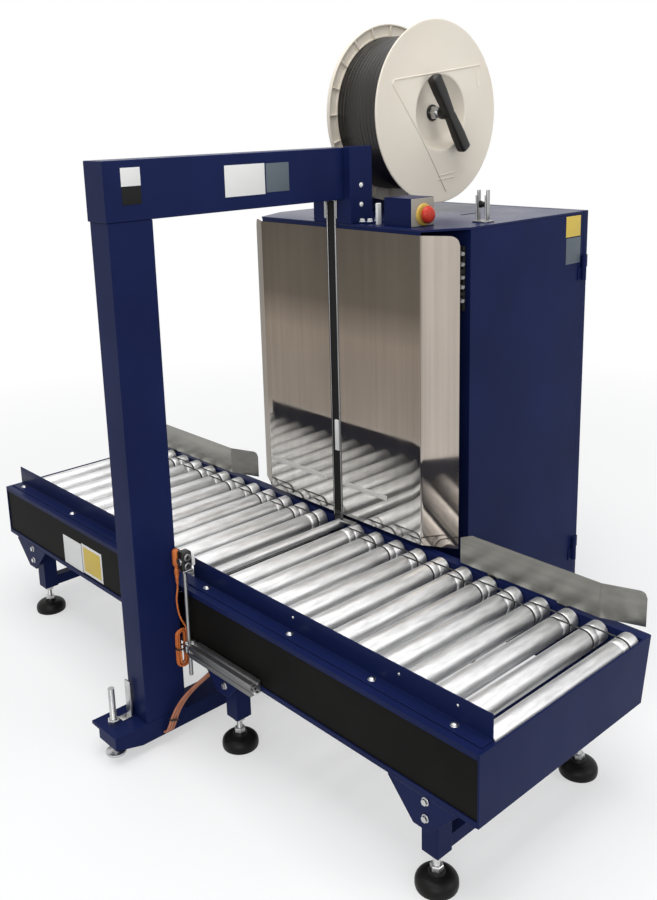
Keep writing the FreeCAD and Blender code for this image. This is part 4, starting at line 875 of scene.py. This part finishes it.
def add_strap_guide():
    """Two slotted uprights on the roof with a dark roller between them."""
    base = CABINET_TOP + GUIDE_BASE_SHEET + 1
    parts = []
    for x, y in GUIDE_BLADES:
        parts += [rounded_box((x - 2, y - 6, base), (x + 2, y + 6, base + 75), 1.2),
                  threaded((x, y - 10, base), 2.5, 62.0)]
    parts.append(plan_box(GUIDE_BASE, CABINET_TOP, CABINET_TOP + GUIDE_BASE_SHEET, 1.2))
    add_piece("guide_uprights", combine(parts), "axle_steel", replaced=("strap_guide",))
    spool = closed([(0, 9), (2, 9), (3, 7), (14, 7), (15, 9), (17, 9)])
    add_piece("guide_spool", lathe(spool, GUIDE_SPOOL, ALONG_X, 28), "black_plastic")


def add_stop():
    """The emergency stop: box, pale face plate, collar and mushroom, and the white fitting beside it."""
    soften("estop_box", "navy_paint", 2.0)
    x, (near, far) = STOP_CENTRE[0], STOP_FACE_Y
    face = rounded_box((x - 1, near, CABINET_TOP + 1), (x + 1.2, far, CABINET_TOP + 69), 0.8)
    add_piece("stop_face", face, "grey_paint")
    collar = [(0, 11.2), (0, 27.5), (3, 27.5), (5.2, 26), (6, 23.5), (6, 11.2)]
    add_piece("stop_collar", lathe(collar, STOP_CENTRE, ALONG_X, ring=True), "yellow_plastic",
              replaced=("estop_collar",))
    cap = closed([(-22, 11), (12, 11), (12.5, 20), (14, 21.5), (19, 21.5), (21, 20), (24, 18.4), (26.5, 14.5),
                  (28, 8), (28.4, POLE)])
    add_piece("stop_cap", lathe(cap, STOP_CENTRE, ALONG_X), "red_plastic", "stop_button", ("estop_button",),
              angle=40)
    add_piece("white_fitting", plan_box(WHITE_FITTING, CABINET_TOP, CABINET_TOP + 54, 1.5), "white_plate")


# Reel

def flange_rib(points, radius, steps=14):
    """A low moulded rib: a round line through (across, up) points, half sunk in the front flange's cone.

    The cone rises evenly from the rim to the dish, so X = front + cone * (rim - r) / (rim - dish), with r the
    distance from the axis.
    """
    points = np.asarray(points, float)
    corner = np.arange(len(points))
    share = np.linspace(0, len(points) - 1, steps * (len(points) - 1) + 1)
    across, up = np.interp(share, corner, points[:, 0]), np.interp(share, corner, points[:, 1])
    rise = np.clip((REEL_RADIUS - np.hypot(across, up)) / (REEL_RADIUS - DISH_RADIUS), 0.0, 1.0)
    path = np.stack([REEL_FRONT + REEL_CONE * rise + 0.1, REEL_AXIS[0] + across, REEL_AXIS[1] + up], axis=1)
    return tube(path, radius, ALONG_X)


def rim_rib(angle):
    """One radial rib of the rear flange, turned about the reel's axis by an angle."""
    low, high = REEL_REAR + 4.5, REEL_REAR + 12
    rib = rounded_box((low, -1.5, 0.87 * REEL_RADIUS), (high, 1.5, REEL_RADIUS - 2), 0.6)
    x, y, z = rib.points.T
    turned = [x, REEL_AXIS[0] + y * math.cos(angle) - z * math.sin(angle),
              REEL_AXIS[1] + y * math.sin(angle) + z * math.cos(angle)]
    return rib._replace(points=np.stack(turned, axis=1))


def add_flanges():
    """A coned front flange dished round the nut, with moulded lines, and a flat rear flange with a ribbed rim."""
    brim, back, dish, floor = REEL_FRONT + REEL_CONE, REEL_FRONT - FLANGE_SHEET, DISH_RADIUS, DISH_FLOOR
    front = [(floor - 3, FLANGE_BORE), (floor - 3, dish - 6), (brim - 6, dish + 3), (back, REEL_RADIUS - 1),
             (back + 1, REEL_RADIUS), (REEL_FRONT - 1, REEL_RADIUS), (REEL_FRONT, REEL_RADIUS - 1.2),
             (REEL_FRONT + 0.4, REEL_RADIUS - 6), (REEL_FRONT + 0.1, REEL_RADIUS - 7.5), (brim - 0.6, dish + 9),
             (brim, dish + 4), (brim - 0.4, dish + 1), (brim - 2, dish - 1), (brim - 8, dish - 2.5),
             (floor + 9, dish - 12), (floor + 4, dish - 16), (floor + 1, dish - 21), (floor, dish - 28),
             (floor, FLANGE_BORE)]
    add_piece("front_disc", lathe(front, (0, *REEL_AXIS), ALONG_X, 120, ring=True), "cream_plastic", "reel",
              ("front_flange",), angle=28)
    lines = [flange_rib([(169, 126.6), (-170, 85.5), (-179, 82), (-181.5, 75), (-178, 67), (28.6, -211.7)], 2.3),
             flange_rib([(149, 124), (152, 90), (158, 70), (166, 68), (171, 80), (172, 124)], 1.3),
             flange_rib([(-8, -168.4), (64, -161.6)], 1.4), flange_rib([(-9.5, -179), (56, -175)], 1.4)]
    add_piece("flange_lines", combine(lines), "cream_plastic", "reel")
    rim = REEL_RADIUS * 0.87
    rear = [(0, FLANGE_BORE), (0, REEL_RADIUS - 1), (1, REEL_RADIUS), (12, REEL_RADIUS), (12, REEL_RADIUS - 3),
            (5, REEL_RADIUS - 3.5), (5, rim + 2), (9, rim + 1.5), (9, rim - 1.5), (5, rim - 2), (5, FLANGE_BORE)]
    add_piece("rear_disc", lathe(rear, (REEL_REAR, *REEL_AXIS), ALONG_X, 120, ring=True), "cream_plastic", "reel",
              ("rear_flange",), angle=30)
    ribs = [rim_rib(2 * math.pi * number / REAR_RIBS) for number in range(REAR_RIBS)]
    add_piece("rear_ribs", combine(ribs), "cream_plastic", "reel")


def add_coil():
    """The wound strap: rows of flat turns, each row a flat band with rounded shoulders of its own radius."""
    start, stop = REEL_REAR + 6.0, REEL_FRONT - 6.0
    width = (stop - start) / COIL_ROWS
    shoulder = np.array([(0.02, -0.45), (0.05, -0.1), (0.1, 0.0), (0.9, 0.0), (0.95, -0.1), (0.98, -0.45)])
    number = np.arange(COIL_ROWS)
    lift = 0.25 * np.sin(number * 2.4) + 0.15 * np.cos(number * 5.1)
    along = start + (number[:, None] + shoulder[None, :, 0]) * width
    radius = COIL_RADIUS - 1.3 + lift[:, None] + shoulder[None, :, 1]
    bore = DISH_RADIUS + 3.5
    profile = np.concatenate([[(start, bore)], np.stack([along.ravel(), radius.ravel()], axis=1), [(stop, bore)]])
    add_piece("strap_rows", lathe(profile, (0, *REEL_AXIS), ALONG_X, 144, ring=True), "black_strap", "reel",
              ("strap_coil",), angle=50)


def add_handle():
    """The clamping bar: superellipse sections whose half width swells to both ends and pinches at the hub.

    At share s of the half length the half width is 14.6 + 2.6 clip(|s|) - 1.4 exp(-(s / 0.05)^2), rounded off to
    nothing over the last twelfth; the section is (|cos a|, |sin a|) to the power of a half, with their signs.
    """
    s = np.linspace(-1, 1, 61)
    end = np.sqrt(np.clip(1 - np.clip((np.abs(s) - 0.92) / 0.08, 0, 1) ** 2, 0.0004, 1))
    swell = 14.6 + 2.6 * np.clip((np.abs(s) - 0.12) / 0.45, 0, 1) - 1.4 * np.exp(-(s / 0.05) ** 2)
    wide, deep = swell * end, (swell - 2.0) * end
    angle = np.linspace(0, 2 * np.pi, 32, endpoint=False)
    outwards = np.sign(np.cos(angle)) * np.abs(np.cos(angle)) ** 0.5
    across = wide[:, None] * (np.sign(np.sin(angle)) * np.abs(np.sin(angle)) ** 0.5)
    along = HANDLE_SHIFT + HANDLE_HALF * s[:, None] + 0 * across
    turn = math.radians(HANDLE_TURN)
    bar = skin(np.stack([HANDLE_X + deep[:, None] * outwards,
                         REEL_AXIS[0] + across * math.cos(turn) - along * math.sin(turn),
                         REEL_AXIS[1] + across * math.sin(turn) + along * math.cos(turn)], axis=-1))
    hub = lathe([(-26, 12.1), (-26, 17), (-24, 18), (-4, 18), (0, 15), (0, POLE)], (HANDLE_X, *REEL_AXIS),
                ALONG_X, 32)
    add_piece("clamp_bar", combine([bar, hub]), "black_plastic", "clamp_handle", ("tee_handle",), angle=40)


def add_shaft():
    """The reel's shaft with the nut in the dish, and the washer under the nut."""
    shaft = [hexagon((DISH_FLOOR + 5, *REEL_AXIS), ALONG_X, 32, 20),
             lathe([(0, SHAFT_RADIUS), (36, SHAFT_RADIUS)], (DISH_FLOOR, *REEL_AXIS), ALONG_X, 28),
             lathe(closed([(0, SHAFT_RADIUS), (60, SHAFT_RADIUS)]), (REEL_REAR - 50, *REEL_AXIS), ALONG_X, 28)]
    add_piece("shaft_nut", combine(shaft), "zinc", "reel", ("reel_hub",))
    add_piece("nut_washer", washer((DISH_FLOOR, *REEL_AXIS), ALONG_X, 22, 5, 40), "black_plastic", "reel")


# Sensor, its lead and the cables

def add_cord(name, route, diameter, slot, replaced):
    """A free cord: one open quadratic NURBS spline whose control points are its route's points."""
    line = bpy.data.curves.new(name, "CURVE")
    line.dimensions = "3D"
    line.bevel_depth = diameter / 2 * METRE
    line.bevel_resolution = 3
    line.use_fill_caps = True
    spline = line.splines.new("NURBS")
    spline.points.add(len(route) - 1)
    places = in_frame(route)
    spline.points.foreach_set("co", np.column_stack([places, np.ones(len(places))]).ravel())
    spline.order_u = 3
    spline.use_endpoint_u = True
    spline.resolution_u = 6
    cord = put_in_scene(name, line)
    dress(cord, slot, "machine", replaced)
    return cord, tuple(places[0].tolist())


def hank_turns():
    """The hank's turns: points round a long oval, 16 a turn, that steps sideways by a cord's width each half turn.

    A point is (x, centre y + r cos a, centre z + straight sign(sin a) + r sin a), with a from the near top
    downwards; r is the outer radius for two turns and a pitch less for the last two. Low turns fan out.
    """
    low = np.radians([0.0, -15.0, -45.0, -75.0, -105.0, -135.0, -165.0, -180.0])
    high = np.radians([180.0, 165.0, 135.0, 105.0, 75.0, 45.0, 15.0, 0.0])
    inner = HANK_OUTER - HANK_PITCH
    centre_x, centre_y, centre_z = HANK_CENTRE
    shifts = [(1, 0), (0, 0), (0, -1), (-1, -1), (-1, 0), (0, 0), (0, 1)]
    radii = [(HANK_OUTER, HANK_OUTER)] * 3 + [(HANK_OUTER, inner)] + [(inner, inner)] * 3
    stretch = [0.0, 1.5, 2.5, -0.5, -2.0, 1.0, -1.0]
    share = np.linspace(0, 1, len(low))
    bent = (share > 0) & (share < 1)
    turns = []
    for number, ((from_x, to_x), (first, last)) in enumerate(zip(shifts, radii)):
        rising = number % 2
        a, way = (high, 1.0) if rising else (low, -1.0)
        across = (first + last) / 2 * np.cos(a) - way * (first - last) / 2
        run = way * (HANK_STRAIGHT + stretch[number]) * np.where(bent, 1.0, 0.78)
        rise = (first + last) / 2 * np.sin(a) * bent
        fan = 1.0 + 0.25 * np.clip(-run / HANK_STRAIGHT, 0, 1)
        sideways = HANK_PITCH * (from_x + (to_x - from_x) * share) * fan
        turns.append(np.stack([centre_x + sideways, centre_y + across, centre_z + run + rise], axis=1))
    return np.concatenate(turns)


def add_tie(name, centre, axis, half, width=4.0, sheet=1.2):
    """A flat tie: a band round an axis, its oval (|cos a|, |sin a|) to the power of 0.6 times its half sizes."""
    axis, side, up = basis(axis)
    angle = np.linspace(0, 2 * np.pi, 36, endpoint=False)[:, None]
    wave = np.sign(np.cos(angle)) * np.abs(np.cos(angle)) ** 0.6 * half[0] * side
    wave = wave + np.sign(np.sin(angle)) * np.abs(np.sin(angle)) ** 0.6 * half[1] * up
    out = wave / np.linalg.norm(wave, axis=1)[:, None]
    rings = np.stack([wave - axis * width / 2, wave + out * sheet - axis * width / 2,
                      wave + out * sheet + axis * width / 2, wave + axis * width / 2], axis=1)
    return add_piece(name, skin(rings + np.asarray(centre, float), loop=True), "black_plastic")


def add_cords():
    """The sensor's lead with its tied hank, and the three cables that run down to the arch's base."""
    route = np.concatenate([LEAD_ROUTE, hank_turns(), LEAD_TAIL])
    lead, start = add_cord("sensor_cord", route, LEAD_DIAMETER, "orange_lead", ("sensor_lead", "lead_hank"))
    tie = add_tie("hank_tie", np.asarray(HANK_CENTRE) + (0.0, 0.0, 2.0), UP, (17.0, 9.2))
    for number, shift in enumerate(BUNDLE_SPACING):
        route = np.asarray(BUNDLE_ROUTE) + (0.0, shift, 0.0)
        add_cord("bundle_cable_%d" % (number + 1), route, BUNDLE_DIAMETER, "faded_cable",
                               ("cable_bundle",) if number == 1 else ())
    tie = add_tie("bundle_tie", (53.0, -356.5, 68.0), (3.0, 18.0, 48.0), (12.4, 4.2), 4.5)


def slotted_outline(half):
    """The bar's section, (y, z) about its middle: one undercut slot turned to the top, front and bottom."""
    slot = np.array([(4, half), (4, half - 2.2), (8, half - 2.2), (8, half - 4.5), (4.5, half - 8),
                     (-4.5, half - 8), (-8, half - 4.5), (-8, half - 2.2), (-4, half - 2.2), (-4, half)])
    sides = [[(half, half)]]
    for c, s in ((1, 0), (0, 1), (-1, 0)):
        sides += [slot @ np.array([[c, s], [-s, c]]), [(-half * c - half * s, -half * s + half * c)]]
    return np.concatenate(sides)


def sensor_plug():
    """The lead's plug: an upright head, its neck to the sensor, and a grip that swells, then narrows, with ribs."""
    x, y = PLUG_PLACE
    head = lathe(closed([(456, 6.5), (459, 8.6), (492, 8.6), (496, 6)]), (x, y, 0), UP, 28)
    neck = lathe(closed([(0, 5), (8, 5)]), (x, y, 475), ALONG_X, 24)
    along = np.linspace(0, 46, 47)
    grip = 3.0 + 3.0 * np.clip(along / 30, 0, 1) - 2.0 * np.clip((along - 34) / 10, 0, 1)
    grip = grip - 0.4 * (np.sin(along * 1.5) > 0.3) * (along < 30)
    return combine([head, neck, lathe(closed(np.stack([along, grip], axis=1)), (x, y, 408.6), UP, 28)])


def add_sensor():
    """The slotted bar with its clamp, the rod, the dark sensor with ring nuts, its pale window and its plug."""
    start, stop = BAR_ENDS
    add_piece("slotted_bar", prism(slotted_outline(15.0) + BAR_MIDDLE, start, stop), "head_aluminium",
              replaced=("sensor_mount",), bevel=0.6)
    # The bar's bore is a near-black disc on its end: painted shade in the hole.
    add_piece("bar_bore", washer((stop, *BAR_MIDDLE), ALONG_X, 3.2, 0.3, 20), "dark_parts_and_painted_shade")
    length = SENSOR_RODS_LENGTH
    rod = lathe(closed([(0, 4), (1, 5), (length - 1, 5), (length, 4)]), SENSOR_ROD, UP, 28)
    add_piece("sensor_rod", rod, "axle_steel")
    clamp = [rounded_box((54, -318, 234), (82, -290, 258), 1.6),
             rounded_box((60, -320.5, 238), (72, -317.5, 254), 1.0),
             rounded_box((55, -317, 444), (78, -290, 450), 1.2)]
    add_piece("rod_clamp", combine(clamp), "zinc")
    add_piece("clamp_screw", bolt_heads([(66, -312, 258), (74, -300, 258)], UP, 9, 5), "zinc")
    add_piece("sensor_body", rounded_box((54, -318, 450), (78, -291, 496), 4.5), "black_plastic")
    ring = [(0, 5.0), (0, 8), (1, 9), (4, 9), (5, 8), (5, 5.0)]
    rings = [lathe(ring, (76.5, BAR_MIDDLE[0], z), ALONG_X, 32, ring=True) for z in RING_NUT_HEIGHTS]
    rings.append(lathe(ring, (66, -316.5, 472.0), TO_COLUMN, 32, ring=True))
    add_piece("ring_nuts", combine(rings), "axle_steel")
    add_piece("sensor_window", rounded_box((57, -290, 455), (75, -281, 481), 1.5), "white_plate")
    add_piece("sensor_plug", sensor_plug(), "orange_lead", angle=50)


# Stage, lamps and camera

def stand(x_axis, y_axis, z_axis, place):
    """The matrix whose columns are three axes and a place, in metres."""
    columns = np.eye(4)
    columns[:3] = np.stack([x_axis, y_axis, z_axis, place], axis=1)
    return Matrix(columns.tolist())


def add_camera():
    """The photograph's camera, its axes worked out from heading, pitch and roll."""
    heading, pitch, roll = (math.radians(v) for v in (CAMERA_HEADING, CAMERA_PITCH, CAMERA_ROLL))
    forward = np.array([-math.sin(heading) * math.cos(pitch), math.cos(heading) * math.cos(pitch),
                        -math.sin(pitch)])
    level = np.array([math.cos(heading), math.sin(heading), 0.0])
    upright = np.cross(level, forward)
    right = math.cos(roll) * level + math.sin(roll) * upright
    up = math.cos(roll) * upright - math.sin(roll) * level
    data = bpy.data.cameras.new("camera")
    camera = put_in_scene("camera", data)
    camera.matrix_world = stand(right, up, -forward, in_frame(CAMERA_PLACE))
    long_side = max(IMAGE_SIZE)
    data.sensor_width = SENSOR
    data.lens = SENSOR * FOCAL_PIXELS / long_side
    data.shift_x = (IMAGE_SIZE[0] / 2 - IMAGE_CENTRE[0]) / long_side
    data.shift_y = (IMAGE_CENTRE[1] - IMAGE_SIZE[1] / 2) / long_side
    data.clip_end = 60.0
    bpy.context.scene.camera = camera


def add_lamp(name, place, target, size, power):
    """A large soft lamp that faces a target, its sides level unless it looks nearly straight down; in metres."""
    data = bpy.data.lights.new(name, "AREA")
    data.shape = "RECTANGLE"
    data.size, data.size_y = size
    data.energy = power
    away = np.asarray(place, float) - np.asarray(target, float)
    away /= np.linalg.norm(away)
    side = np.cross(UP if abs(away[2]) < 0.98 else ALONG_Y, away)
    side /= np.linalg.norm(side)
    put_in_scene(name, data).matrix_world = stand(side, np.cross(away, side), away, place)


def seen_rays(tree):
    """Socket that is 1 for camera, glossy and transmission rays."""
    paths = tree.nodes.new("ShaderNodeLightPath")
    seen = paths.outputs["Is Camera Ray"]
    for ray in ("Is Glossy Ray", "Is Transmission Ray"):
        larger = tree.nodes.new("ShaderNodeMath")
        larger.operation = "MAXIMUM"
        tree.links.new(seen, larger.inputs[0])
        tree.links.new(paths.outputs[ray], larger.inputs[1])
        seen = larger.outputs[0]
    return seen


def mix_shaders(tree, factor, first, second, surface):
    """Mixes two shaders by a factor into an output's surface."""
    blend = tree.nodes.new("ShaderNodeMixShader")
    tree.links.new(factor, blend.inputs["Fac"])
    tree.links.new(first, blend.inputs[1])
    tree.links.new(second, blend.inputs[2])
    tree.links.new(blend.outputs[0], surface)


def add_surround():
    """A soft, slightly cool light all round that shows as white to the camera and in reflections."""
    world = bpy.data.worlds.new("surround")
    bpy.context.scene.world = world
    world.use_nodes = True
    tree = world.node_tree
    tree.nodes.clear()
    light, seen = tree.nodes.new("ShaderNodeBackground"), tree.nodes.new("ShaderNodeBackground")
    light.inputs["Color"].default_value = (0.93, 0.96, 1.0, 1.0)
    light.inputs["Strength"].default_value = SURROUND_LIGHT
    seen.inputs["Color"].default_value = (1.0, 1.0, 1.0, 1.0)
    out = tree.nodes.new("ShaderNodeOutputWorld")
    mix_shaders(tree, seen_rays(tree), light.outputs[0], seen.outputs[0], out.inputs["Surface"])


def floor_finish():
    """Pale floor that fades to white with the distance from the middle."""
    material = new_material("pale floor", grey(0.9), roughness=0.9, specular=0.1)
    tree = material.node_tree
    white = tree.nodes.new("ShaderNodeEmission")
    coordinates = tree.nodes.new("ShaderNodeTexCoord")
    length = tree.nodes.new("ShaderNodeVectorMath")
    length.operation = "LENGTH"
    fade = tree.nodes.new("ShaderNodeMapRange")
    fade.inputs["From Min"].default_value, fade.inputs["From Max"].default_value = FLOOR_FADE
    fade.inputs["To Min"].default_value = 0.5
    share = tree.nodes.new("ShaderNodeMath")
    share.operation = "MULTIPLY"
    tree.links.new(coordinates.outputs["Object"], length.inputs[0])
    tree.links.new(length.outputs["Value"], fade.inputs["Value"])
    tree.links.new(fade.outputs[0], share.inputs[0])
    tree.links.new(seen_rays(tree), share.inputs[1])
    mix_shaders(tree, share.outputs[0], tree.nodes["Principled BSDF"].outputs[0], white.outputs[0],
                tree.nodes["Material Output"].inputs["Surface"])
    return material


def add_stage():
    """A pale floor that fades to white far out, a white surround and soft lamps."""
    bpy.context.scene.view_settings.view_transform = "Standard"
    add_surround()
    mesh = bpy.data.meshes.new("floor")
    reach = FLOOR_REACH
    mesh.from_pydata([(-reach, -reach, 0), (reach, -reach, 0), (reach, reach, 0), (-reach, reach, 0)], [],
                     [(0, 1, 2, 3)])
    mesh.materials.append(floor_finish())
    floor = put_in_scene("floor", mesh)
    for name, (place, target, size, power) in LAMPS.items():
        add_lamp(name, place, target, size, power)


add_camera()
add_cords()
add_stage()
add_rollers()
add_belts()
add_conveyor()
add_far_guides()
add_legs()
add_arch()
add_blank_plates()
add_track()
add_plates()
add_cabinet()
add_strap_guide()
add_stop()
add_flanges()
add_coil()
add_handle()
add_shaft()
add_sensor()
